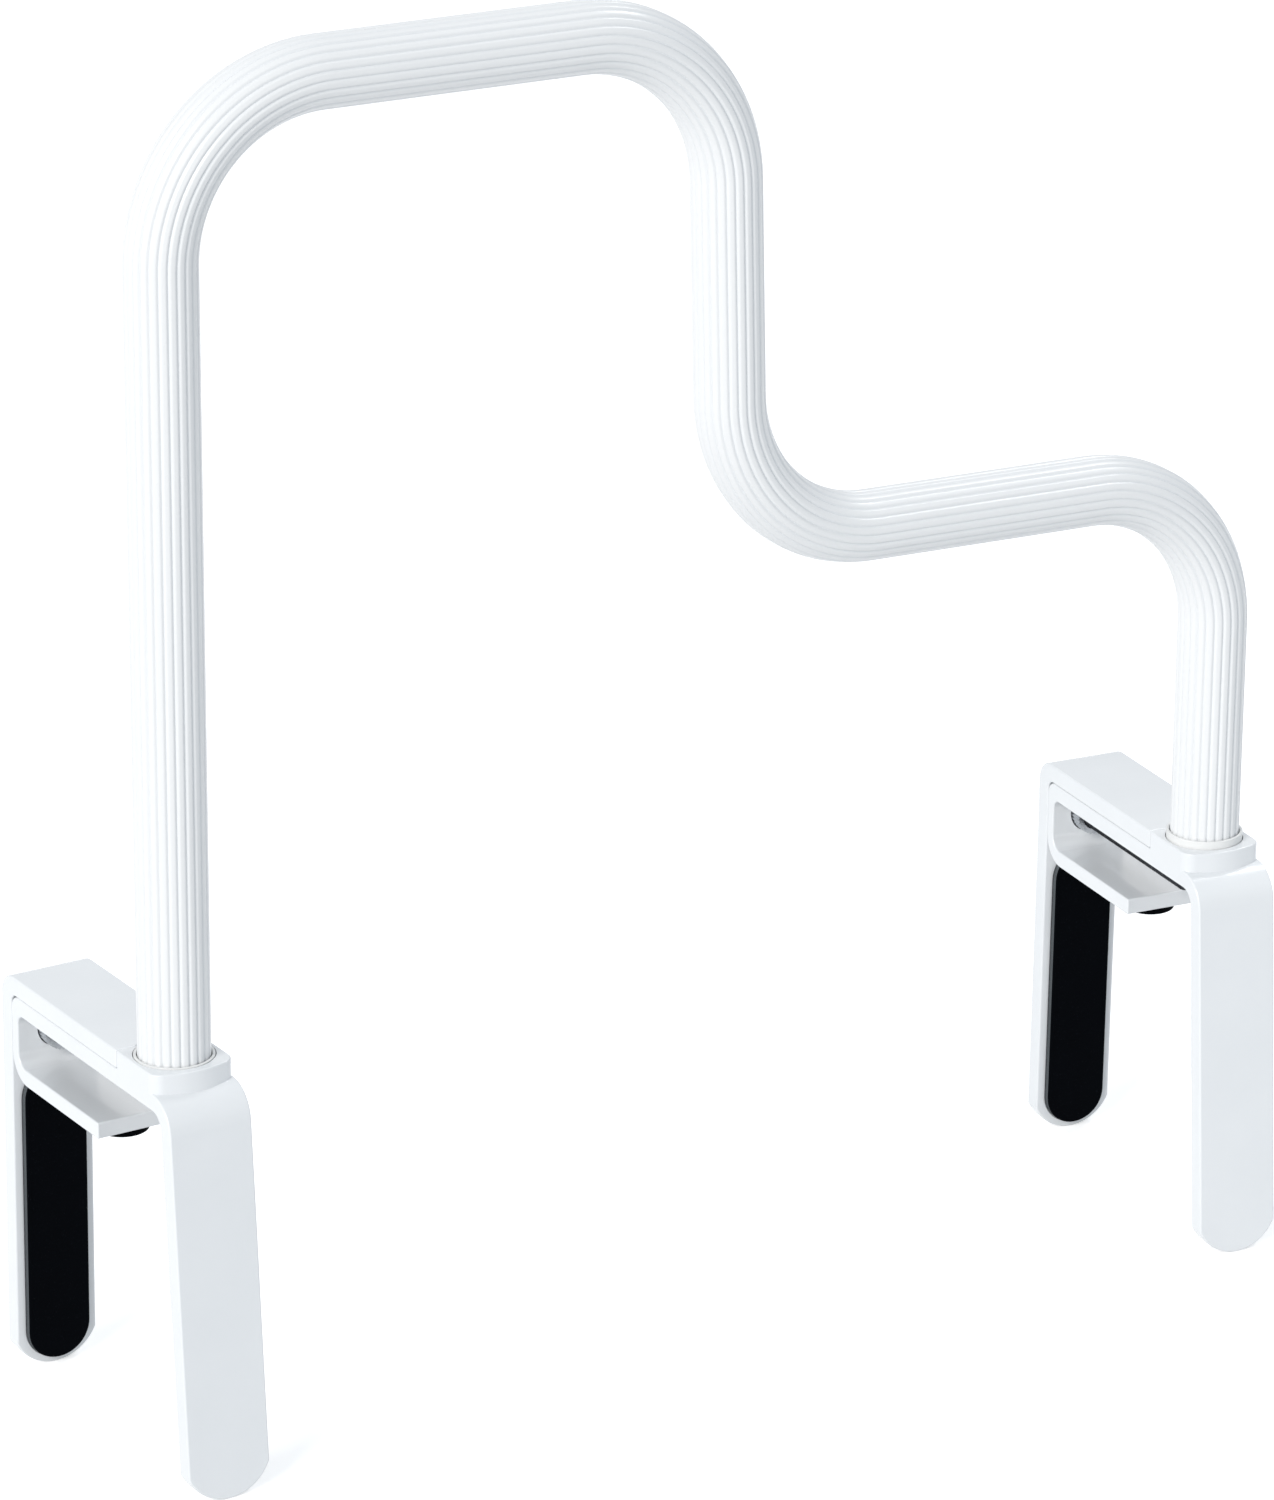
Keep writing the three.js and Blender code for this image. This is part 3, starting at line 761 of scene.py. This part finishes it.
def front_pad(name, low=GAP - PAD_RECESS, high=PAD_PROUD, grow=0.0):
    return leg_pad(name, FRONT_FRAME, FRONT_PAD_TOP, SHELF_UNDER, low, high, grow)


def rear_pad(name, low=-PAD_PROUD, high=PAD_RECESS - GAP, grow=0.0):
    return leg_pad(name, REAR_FRAME, REAR_PAD_TOP, SPLAY_START, low, high, grow)


def rim_pad(name, low=SHELF_UNDER - RIM_PAD_PROUD, high=SHELF_UNDER + PAD_RECESS - GAP, grow=0.0):
    outline = stadium(RIM_PAD_HALF_WIDTH + grow, RIM_PAD_LENGTH / 2 + grow)
    pad = prism(name, outline, "Z", low, high)
    pad.data.transform(Matrix.Translation((0, RIM_PAD_FRONT + RIM_PAD_LENGTH / 2, 0)))
    return pad


WALL_TILT = 0.5
PADS = (("front_pad", front_pad, "clamp", FRONT_FRAME),
        ("rear_pad", rear_pad, "jaw", REAR_FRAME),
        ("rim_pad", rim_pad, "clamp", None))


def mark_walls(pad, thick_axis):
    """Stores 1 on the faces that stand across the flat of the pad, which are its rim and get a painted
    highlight.
    """
    wall = pad.data.attributes.new("wall", "FLOAT", "FACE")
    for face, share in zip(pad.data.polygons, wall.data):
        share.value = abs(face.normal.dot(thick_axis)) < WALL_TILT


for side, place in SIDES.items():
    for node, make, body, leg_frame in PADS:
        pad = soften(make(f"{side}_{node}_rubber"), PAD_EDGE)
        if leg_frame:
            mark_walls(pad, leg_frame.col[1].xyz)
        keep(pad, f"{side}_{node}", f"{side}_{body}", place)

# %% Boss of the front casting
BOSS_SHOULDER_CORNER = 1
BOSS_SIDE_END = -13.2
BOSS_SIDE_CORNER = 5
BOSS_NOSE = -17.5
BOSS_NOSE_RADIUS = 30
BOSS_LOW = (ARM_TOP + ARM_UNDER) / 2


def boss_on_arm():
    """A plan with a blunt nose, and a round collar that reaches back past its shoulder."""
    plan = rounded([
        (HALF_WIDTH, BOSS_SHOULDER, BOSS_SHOULDER_CORNER), (-HALF_WIDTH, BOSS_SHOULDER, BOSS_SHOULDER_CORNER),
        (-HALF_WIDTH, BOSS_SIDE_END, BOSS_SIDE_CORNER), (0, BOSS_NOSE, BOSS_NOSE_RADIUS),
        (HALF_WIDTH, BOSS_SIDE_END, BOSS_SIDE_CORNER)])
    boss = prism("boss", plan, "Z", BOSS_LOW, 0)
    combine(boss, "UNION", hole_down(BOSS_RADIUS, BOSS_LOW, 0))
    return soften(boss, BOSS_EDGE)


# %% Front casting
FRONT_CORNER = 12
RETURN_TOP_CORNER = 4
SHELF_CORNER = 10
BAY_LOW_CORNER = 5
BAY_HIGH_CORNER = 3.5
LEG_INNER_CORNER = 5.5
INSERT_RADIUS = 7.2
INSERT_LENGTH = 8.9
INSERT_HIGH = RETURN_BACK - GAP
INSERT_LOW = INSERT_HIGH - INSERT_LENGTH
SOCKET_RADIUS = 12.3
SOCKET_FLOOR = -9.6
BUSH_SEAT_RADIUS = 13.6
BUSH_SEAT_FLOOR = -6
BOLT_HOLE_RADIUS = 3.3
BOLT_HOLE_LOW = -20


def rib_outline(half_width, front, back):
    """The plan of the guide rib on the arm, or of the groove for it in the cover."""
    return [(-half_width, front), (half_width, front), (half_width, back), (-half_width, back)]


def front_casting(name):
    low = -LEG_LENGTH - BEYOND
    thick = FRONT_THICKNESS / math.cos(FRONT_SPLAY)
    side_view = rounded([
        (front_face(low), low), (front_face(ARM_TOP), ARM_TOP, FRONT_CORNER),
        (RETURN_BACK, ARM_TOP, RETURN_TOP_CORNER), (RETURN_BACK, SHELF_UNDER, SHELF_CORNER),
        (SHELF_FRONT, SHELF_UNDER), (SHELF_FRONT, BAY_FLOOR),
        (BAY_BACK, BAY_FLOOR, BAY_LOW_CORNER), (BAY_BACK, ARM_UNDER, BAY_HIGH_CORNER),
        (front_face(ARM_UNDER) + thick, ARM_UNDER, LEG_INNER_CORNER), (front_face(low) + thick, low)])
    body = prism(name, side_view, "X", -HALF_WIDTH, HALF_WIDTH)
    combine(body, "INTERSECT", leg_end())
    soften(body, CASTING_EDGE)
    rib = prism("rib", rib_outline(RIB_HALF_WIDTH, RIB_FRONT, RIB_BACK), "Z", BOSS_LOW, ARM_TOP + RIB_RISE)
    combine(body, "UNION", boss_on_arm(), rib)
    combine(body, "DIFFERENCE", hole_down(BUSH_SEAT_RADIUS, BUSH_SEAT_FLOOR, BEYOND),
            hole_down(SOCKET_RADIUS, SOCKET_FLOOR, BEYOND), hole_down(BOLT_HOLE_RADIUS, BOLT_HOLE_LOW, 0),
            hole_along_screw(INSERT_RADIUS + GAP, INSERT_LOW - BEYOND, INSERT_HIGH + BEYOND),
            front_pad("recess", -PAD_RECESS, BEYOND, GAP),
            rim_pad("recess", SHELF_UNDER - BEYOND, SHELF_UNDER + PAD_RECESS, GAP))
    return body


for side, place in SIDES.items():
    keep(front_casting(f"{side}_front_casting"), f"{side}_front_bracket", f"{side}_clamp", place)

# %% Rear casting
COVER_CORNER = 8
JAW_CORNER = 3.3
COVER_TOOL_LOW = -20
GROOVE_TOOL_LOW = -10
RING_POCKET_DEPTH = 2.5
RING_POCKET_RADIUS = RING_RADIUS + 2 * GAP


def rear_casting(name):
    low = -LEG_LENGTH - BEYOND
    outer = JAW_BACK + REAR_THICKNESS
    thick = REAR_THICKNESS / math.cos(REAR_SPLAY)
    front = BOSS_SHOULDER + SEAM
    under = ARM_TOP + SEAM
    side_view = rounded([
        (front, 0), (outer, 0, COVER_CORNER), (outer, SPLAY_START), (rear_face(low) + thick, low),
        (rear_face(low), low), (JAW_BACK, SPLAY_START), (JAW_BACK, under, JAW_CORNER), (front, under)])
    body = prism(name, side_view, "X", -HALF_WIDTH, HALF_WIDTH)
    combine(body, "INTERSECT", leg_end())
    combine(body, "DIFFERENCE", hole_down(BOSS_RADIUS + GAP, COVER_TOOL_LOW, BEYOND))
    soften(body, CASTING_EDGE)
    groove = rib_outline(RIB_HALF_WIDTH + GAP, 0, RIB_BACK + GAP)
    combine(body, "DIFFERENCE", prism("groove", groove, "Z", GROOVE_TOOL_LOW, ARM_TOP + RIB_RISE + GAP),
            hole_along_screw(SCREW_RADIUS + GAP, JAW_BACK - BEYOND, outer + BEYOND),
            hole_along_screw(RING_POCKET_RADIUS, JAW_BACK - BEYOND, JAW_BACK + RING_POCKET_DEPTH),
            rear_pad("recess", -BEYOND, PAD_RECESS, GAP))
    return body


for side, place in SIDES.items():
    keep(rear_casting(f"{side}_rear_casting"), f"{side}_rear_bracket", f"{side}_jaw", place)

# %% [markdown]
# ## Bushes, bolts and the clamp screw
# The white bush closes the joint between post and boss; in the photograph the right one stands proud. Below
# the boss a bolt and a washer pull the tube's plug down. The clamp screw goes through the rear leg into the
# insert in the return's back wall, and a retaining ring makes it push the leg as well as pull it. That ring
# is open on one side, so that it can be pushed into the screw's groove.

# %% Bush, washers and plug
def ring_profile(inner, outer, low, high, edge):
    """The profile of a ring, as (radius, height), with small rounded corners."""
    return rounded([(inner, low, edge), (outer, low, edge), (outer, high, edge), (inner, high, edge)])


BUSH_RISE = {"left": 0.3, "right": 2.8}
BUSH_RADIUS = 13.3
BUSH_HEIGHT = 6
BUSH_EDGE = 0.25
BUSH_SIDES = 128
WASHER_THICKNESS = 1.6
WASHER_RADIUS = 10
WASHER_EDGE = 0.3
WASHER_LOW = JAW_BACK + REAR_THICKNESS + GAP
HEAD_LOW = WASHER_LOW + WASHER_THICKNESS + GAP
BOLT_WASHER_RADIUS = 6.5
BOLT_WASHER_TOP = ARM_UNDER - GAP
BOLT_WASHER_LOW = BOLT_WASHER_TOP - WASHER_THICKNESS
BOLT_WASHER_EDGE = 0.25
PLUG_RADIUS = TUBE_BORE_RADIUS - GAP
PLUG_TOP = 18
PLUG_HOLE_TOP = 8.3
PLUG_HOLE_EDGE = 0.3
PLUG_FOOT_EDGE = 0.6
PLUG_TOP_EDGE = 0.8
PLUG_MIDDLE = 0.01

for side, place in SIDES.items():
    rise = BUSH_RISE[side]
    profile = ring_profile(SOCKET_RADIUS, BUSH_RADIUS, rise - BUSH_HEIGHT, rise, BUSH_EDGE)
    bush = turned(f"{side}_bush", profile, BUSH_SIDES)
    keep(bush, f"{side}_post_bush", f"{side}_clamp", place)
    washer = turned(f"{side}_jaw_washer", ring_profile(
        SCREW_RADIUS + GAP, WASHER_RADIUS, WASHER_LOW, WASHER_LOW + WASHER_THICKNESS, WASHER_EDGE))
    keep(washer, f"{side}_screw_washer", f"{side}_jaw", place @ ALONG_SCREW)
    low_washer = turned(f"{side}_bolt_washer", ring_profile(
        BOLT_HOLE_RADIUS, BOLT_WASHER_RADIUS, BOLT_WASHER_LOW, BOLT_WASHER_TOP, BOLT_WASHER_EDGE))
    keep(low_washer, f"{side}_post_washer", "rail", place)
    plug = turned(f"{side}_plug", rounded([
        (BOLT_HOLE_RADIUS, TUBE_FOOT, PLUG_HOLE_EDGE), (PLUG_RADIUS, TUBE_FOOT, PLUG_FOOT_EDGE),
        (PLUG_RADIUS, PLUG_TOP, PLUG_TOP_EDGE), (PLUG_MIDDLE, PLUG_TOP),
        (PLUG_MIDDLE, PLUG_HOLE_TOP), (BOLT_HOLE_RADIUS, PLUG_HOLE_TOP)]))
    keep(plug, f"{side}_tube_plug", "rail", place)

# %% Bolt under each post
BOLT_FLATS = 10
BOLT_HEAD_HEIGHT = 4
BOLT_HEAD_TOP = BOLT_WASHER_LOW - GAP
BOLT_HEAD_LOW = BOLT_HEAD_TOP - BOLT_HEAD_HEIGHT
BOLT_RADIUS = 3
BOLT_TIP = 8
BOLT_TIP_CHAMFER = 0.6
TRIM_FACE_RADIUS = 4.9
TRIM_RADIUS = 5.9
TRIM_LOW = -19.2
TRIM_SHOULDER = -18.2
TRIM_TOP = -14
SHANK_START = -16


def hexagon(across_flats):
    reach = across_flats / math.sqrt(3)
    return [(reach * math.cos(k * math.pi / 3), reach * math.sin(k * math.pi / 3)) for k in range(6)]


for side, place in SIDES.items():
    bolt = prism(f"{side}_bolt", hexagon(BOLT_FLATS), "Z", BOLT_HEAD_LOW, BOLT_HEAD_TOP)
    trim = turned("trim", rounded([(0, TRIM_LOW), (TRIM_FACE_RADIUS, TRIM_LOW), (TRIM_RADIUS, TRIM_SHOULDER),
                                   (TRIM_RADIUS, TRIM_TOP), (0, TRIM_TOP)]))
    combine(bolt, "INTERSECT", trim)
    shank = turned("shank", [(0, SHANK_START), (BOLT_RADIUS, SHANK_START),
                             (BOLT_RADIUS, BOLT_TIP - BOLT_TIP_CHAMFER),
                             (BOLT_RADIUS - BOLT_TIP_CHAMFER, BOLT_TIP), (0, BOLT_TIP)])
    combine(bolt, "UNION", shank)
    keep(bolt, f"{side}_post_bolt", "rail", place)

# %% [markdown]
# A screw thread is the other shape that follows a rule: one groove that climbs by its pitch at every turn.
# A flat grid is wrapped into a cylinder, and each point's radius depends on its height and its angle. At
# the tip a cone takes over where it is narrower than the thread, as the chamfer on a real screw does.

# %% The thread tree
CREST_SHARE = 0.12
WHOLE_TURNS = 64.0
SAME_POINT = 1e-6


def thread_tree():
    tree = bpy.data.node_groups.new("thread", "GeometryNodeTree")
    interface = tree.interface
    for name, kind in (("Length", "Float"), ("Pitch", "Float"), ("Radius", "Float"), ("Depth", "Float"),
                       ("Chamfer", "Float"), ("Sides", "Int"), ("Rows", "Int"), ("Finish", "Material")):
        interface.new_socket(name, in_out="INPUT", socket_type="NodeSocket" + kind)
    interface.new_socket("Mesh", in_out="OUTPUT", socket_type="NodeSocketGeometry")
    graph = Graph(tree)
    given = tree.nodes.new("NodeGroupInput")
    value = {socket.name: Wire(graph, socket) for socket in given.outputs if socket.name}

    grid = graph.node("GeometryNodeMeshGrid", None, {
        "Size X": 1.0, "Size Y": 1.0, "Vertices X": value["Sides"], "Vertices Y": value["Rows"]})
    place = graph.node("GeometryNodeInputPosition")
    apart = graph.node("ShaderNodeSeparateXYZ", None, {0: place})
    across = apart + 0.5
    along = (Wire(graph, apart.socket.node.outputs["Y"]) + 0.5) * value["Length"]
    phase = graph.maths("FRACT", along / value["Pitch"] - across + WHOLE_TURNS)
    flank = graph.maths("ABSOLUTE", phase * 2 - 1)
    root = graph.node("ShaderNodeMapRange", {"interpolation_type": "SMOOTHSTEP"},
                      {0: flank, 1: CREST_SHARE, 2: 1 - CREST_SHARE, 3: 0.0, 4: 1.0})
    threaded = value["Radius"] - value["Depth"] * root
    at_tip = value["Radius"] - value["Chamfer"] + along
    radius = graph.maths("MINIMUM", threaded, at_tip)
    turn = across * (2 * math.pi)
    wrapped = graph.node("ShaderNodeCombineXYZ", None, {
        0: radius * graph.maths("COSINE", turn), 1: radius * graph.maths("SINE", turn), 2: along})
    bent = graph.node("GeometryNodeSetPosition", None, {"Geometry": grid, "Position": wrapped})
    joined = graph.node("GeometryNodeMergeByDistance", None, {"Geometry": bent, "Distance": SAME_POINT})
    real = graph.node("GeometryNodeRealizeInstances", None, {"Geometry": joined})
    coated = graph.node("GeometryNodeSetMaterial", None, {"Geometry": real, "Material": value["Finish"]})
    out = tree.nodes.new("NodeGroupOutput")
    tree.links.new(coated.socket, out.inputs["Mesh"])
    return tree


THREAD = thread_tree()

# %% Thread of the clamp screw
SCREW_TIP = 9
PITCH = 1.5
THREAD_DEPTH = 0.8
TIP_CHAMFER = 1.2
THREAD_IN_HEAD = 0.5
POINTS_PER_TURN = 49
ROWS_PER_TURN = 10


def screw_thread(name):
    length = HEAD_LOW + THREAD_IN_HEAD - SCREW_TIP
    start = new_object(name + "_start", bpy.data.meshes.new(name))
    mesh = run_tree(start, THREAD, Length=length * MM, Pitch=PITCH * MM, Radius=SCREW_RADIUS * MM,
                    Depth=THREAD_DEPTH * MM, Chamfer=TIP_CHAMFER * MM, Sides=POINTS_PER_TURN,
                    Rows=round(length / PITCH * ROWS_PER_TURN), Finish=FINISHES["black_steel"])
    shape = bmesh.new()
    shape.from_mesh(mesh)
    bmesh.ops.holes_fill(shape, edges=[edge for edge in shape.edges if edge.is_boundary], sides=0)
    bmesh.ops.recalc_face_normals(shape, faces=shape.faces)
    bmesh.ops.transform(shape, matrix=Matrix.Translation((0, 0, SCREW_TIP)) @ Matrix.Scale(1 / MM, 4),
                        verts=shape.verts)
    shape.to_mesh(mesh)
    shape.free()
    return new_object(name, mesh)


# %% Head of the clamp screw
HEAD_HEIGHT = 6
HEAD_HIGH = HEAD_LOW + HEAD_HEIGHT
HEAD_RADIUS = 8.0
HEAD_BORE_RADIUS = 1.0
HEAD_FOOT = [(0, 0), (7.9, 0), (8.05, 0.15)]
HEAD_CROWN = [(8.05, -1.2), (7.7, -0.8), (6.9, 0), (0, 0)]
KNURLS = 40
KNURL_DEPTH = 0.3
KNURL_SHARPNESS = 1.2
POINTS_PER_KNURL = 8
CORE_RADIUS = 2
CORE_LOW = HEAD_LOW + 0.05
CORE_HIGH = HEAD_HIGH - 3
KEY_FLATS = 8
KEY_DEPTH = 4
KEY_OVERRUN = 1


def screw_head(name):
    """A knurled ring that is turned to its outline, filled, and sunk for a hexagon key."""
    head = fluted(name, [(0, 0, HEAD_LOW), (0, 0, HEAD_HIGH)], Flutes=KNURLS, Radius=HEAD_RADIUS,
                  Depth=KNURL_DEPTH, Sharpness=KNURL_SHARPNESS, Bore_radius=HEAD_BORE_RADIUS,
                  Points_round=KNURLS * POINTS_PER_KNURL, Finish=FINISHES["black_steel"])
    outer = turned("outer", [(radius, HEAD_LOW + height) for radius, height in HEAD_FOOT]
                   + [(radius, HEAD_HIGH + height) for radius, height in HEAD_CROWN])
    combine(head, "INTERSECT", outer)
    combine(head, "UNION", hole_down(CORE_RADIUS, CORE_LOW, CORE_HIGH))
    key = prism("key", hexagon(KEY_FLATS), "Z", HEAD_HIGH - KEY_DEPTH, HEAD_HIGH + KEY_OVERRUN)
    return combine(head, "DIFFERENCE", key)


for side, place in SIDES.items():
    thread = screw_thread(f"{side}_screw_thread")
    keep(thread, f"{side}_clamp_screw", f"{side}_screw", place @ ALONG_SCREW)
    head = screw_head(f"{side}_screw_head")
    keep(head, f"{side}_clamp_screw", f"{side}_screw", place @ ALONG_SCREW)

# %% Retaining ring and knurled insert
RING_LOW = JAW_BACK + 2 * GAP
RING_THICKNESS = 1.2
RING_BORE_RADIUS = 4.3
RING_EDGE = 0.2
MOUTH_HALF_WIDTH = 2.5
MOUTH_REACH = -RING_RADIUS - BEYOND
MOUTH_LOW = RING_LOW - 1
MOUTH_HIGH = RING_LOW + 3
INSERT_KNURLS = 32
INSERT_KNURL_DEPTH = 0.35
INSERT_KNURL_SHARPNESS = 1.0

for side, place in SIDES.items():
    ring = turned(f"{side}_snap_ring", ring_profile(
        RING_BORE_RADIUS, RING_RADIUS, RING_LOW, RING_LOW + RING_THICKNESS, RING_EDGE))
    mouth = [(-MOUTH_HALF_WIDTH, 0), (-MOUTH_HALF_WIDTH, MOUTH_REACH),
             (MOUTH_HALF_WIDTH, MOUTH_REACH), (MOUTH_HALF_WIDTH, 0)]
    combine(ring, "DIFFERENCE", prism("mouth", mouth, "Z", MOUTH_LOW, MOUTH_HIGH))
    keep(ring, f"{side}_retaining_ring", f"{side}_screw", place @ ALONG_SCREW)
    insert = fluted(f"{side}_insert", [(0, 0, INSERT_LOW), (0, 0, INSERT_HIGH)], Flutes=INSERT_KNURLS,
                    Radius=INSERT_RADIUS, Depth=INSERT_KNURL_DEPTH, Sharpness=INSERT_KNURL_SHARPNESS,
                    Bore_radius=SCREW_RADIUS + GAP, Points_round=INSERT_KNURLS * POINTS_PER_KNURL,
                    Finish=FINISHES["zinc_steel"])
    keep(insert, f"{side}_threaded_insert", f"{side}_clamp", place @ ALONG_SCREW)

# %% [markdown]
# ## Studio
# The photograph is a cut-out on pure white. Its sides towards the left are bright white, and its fronts and
# tops a cooler pale grey. So the main light is a large panel far off on the left, in front and high up. A
# cool fill comes from the world. A small panel overhead throws the strip of light into each bay, and a
# weak, low one in front lifts the undersides. The floor and the world show as white to the camera, and in
# what metal or gloss mirrors, while the floor still takes the object's soft shadow.

# %% The rays that see the white studio
def seen_directly(graph):
    """1 for the camera's rays and for those that metal and gloss mirror or glass lets through, else 0."""
    rays = graph.node("ShaderNodeLightPath").socket.node.outputs
    seen = Wire(graph, rays["Is Camera Ray"]) + Wire(graph, rays["Is Glossy Ray"])
    return graph.maths("MINIMUM", seen + Wire(graph, rays["Is Transmission Ray"]), 1)


# %% Floor
FLOOR_HALF_SIZE = 12
FLOOR_GLOW = 0.5
FLOOR_COLOUR = (0.8, 0.8, 0.8, 1)
FLOOR_ROUGHNESS = 0.9
FLOOR_GLOSS = 0.1
WHITE = (1, 1, 1, 1)
BLACK = (0, 0, 0, 1)


def studio_floor():
    half = FLOOR_HALF_SIZE
    shape = bmesh.new()
    corners = ((-half, -half), (half, -half), (half, half), (-half, half))
    shape.faces.new([shape.verts.new((x, y, 0)) for x, y in corners])
    floor = object_from("floor", shape)
    material = bpy.data.materials.new("studio_floor")
    material.use_nodes = True
    graph = Graph(material.node_tree)
    shader = material.node_tree.nodes["Principled BSDF"]
    shader.inputs["Base Color"].default_value = FLOOR_COLOUR
    shader.inputs["Roughness"].default_value = FLOOR_ROUGHNESS
    shader.inputs["Specular IOR Level"].default_value = FLOOR_GLOSS
    glow = graph.node("ShaderNodeEmission", None, {"Color": WHITE, "Strength": FLOOR_GLOW})
    dark = graph.node("ShaderNodeEmission", None, {"Color": BLACK, "Strength": 0.0})
    seen = graph.node("ShaderNodeMixShader", None, {0: seen_directly(graph), 1: dark, 2: glow})
    lit = graph.node("ShaderNodeAddShader", None, {0: Wire(graph, shader.outputs[0]), 1: seen})
    material.node_tree.links.new(lit.socket, material.node_tree.nodes["Material Output"].inputs["Surface"])
    floor.data.materials.append(material)


studio_floor()

# %% World
FILL_COLOUR = (0.85, 0.925, 1.0, 1)
FILL_STRENGTH = 0.53


def studio_world():
    world = bpy.data.worlds.new("studio")
    world.use_nodes = True
    bpy.context.scene.world = world
    graph = Graph(world.node_tree)
    backdrop = graph.node("ShaderNodeBackground", None, {"Color": WHITE, "Strength": 1.0})
    fill = graph.node("ShaderNodeBackground", None, {"Color": FILL_COLOUR, "Strength": FILL_STRENGTH})
    mixed = graph.node("ShaderNodeMixShader", None, {0: seen_directly(graph), 1: fill, 2: backdrop})
    world.node_tree.links.new(mixed.socket, world.node_tree.nodes["World Output"].inputs["Surface"])


studio_world()
print("floor and world: fill strength", FILL_STRENGTH, "and floor glow", FLOOR_GLOW)

# %% Lamps, in metres and watts
LAMP_AIM = Vector((0, 0, 0.2))


def panel(name, place, size, power, colour):
    """A square lamp that faces the middle of the rail."""
    light = bpy.data.lights.new(name, "AREA")
    light.shape = "SQUARE"
    light.size = size
    light.energy = power
    light.color = colour
    lamp = new_object(name, light)
    lamp.location = place
    lamp.rotation_euler = (LAMP_AIM - Vector(place)).to_track_quat("-Z", "Y").to_euler()
    print(f"{name}: {power} W over {size} m, {lamp.location.length:.1f} m away")


panel("key_panel", place=(-14.0, -7.1, 8.8), size=7.8, power=2180, colour=(1.0, 0.98, 0.95))
panel("top_panel", place=(2.4, 0.6, 3.2), size=0.9, power=27, colour=(0.98, 0.99, 1.0))
panel("low_panel", place=(0.6, -5.0, 0.9), size=2.4, power=6, colour=(0.94, 0.97, 1.0))
bpy.context.scene.view_settings.view_transform = "Standard"
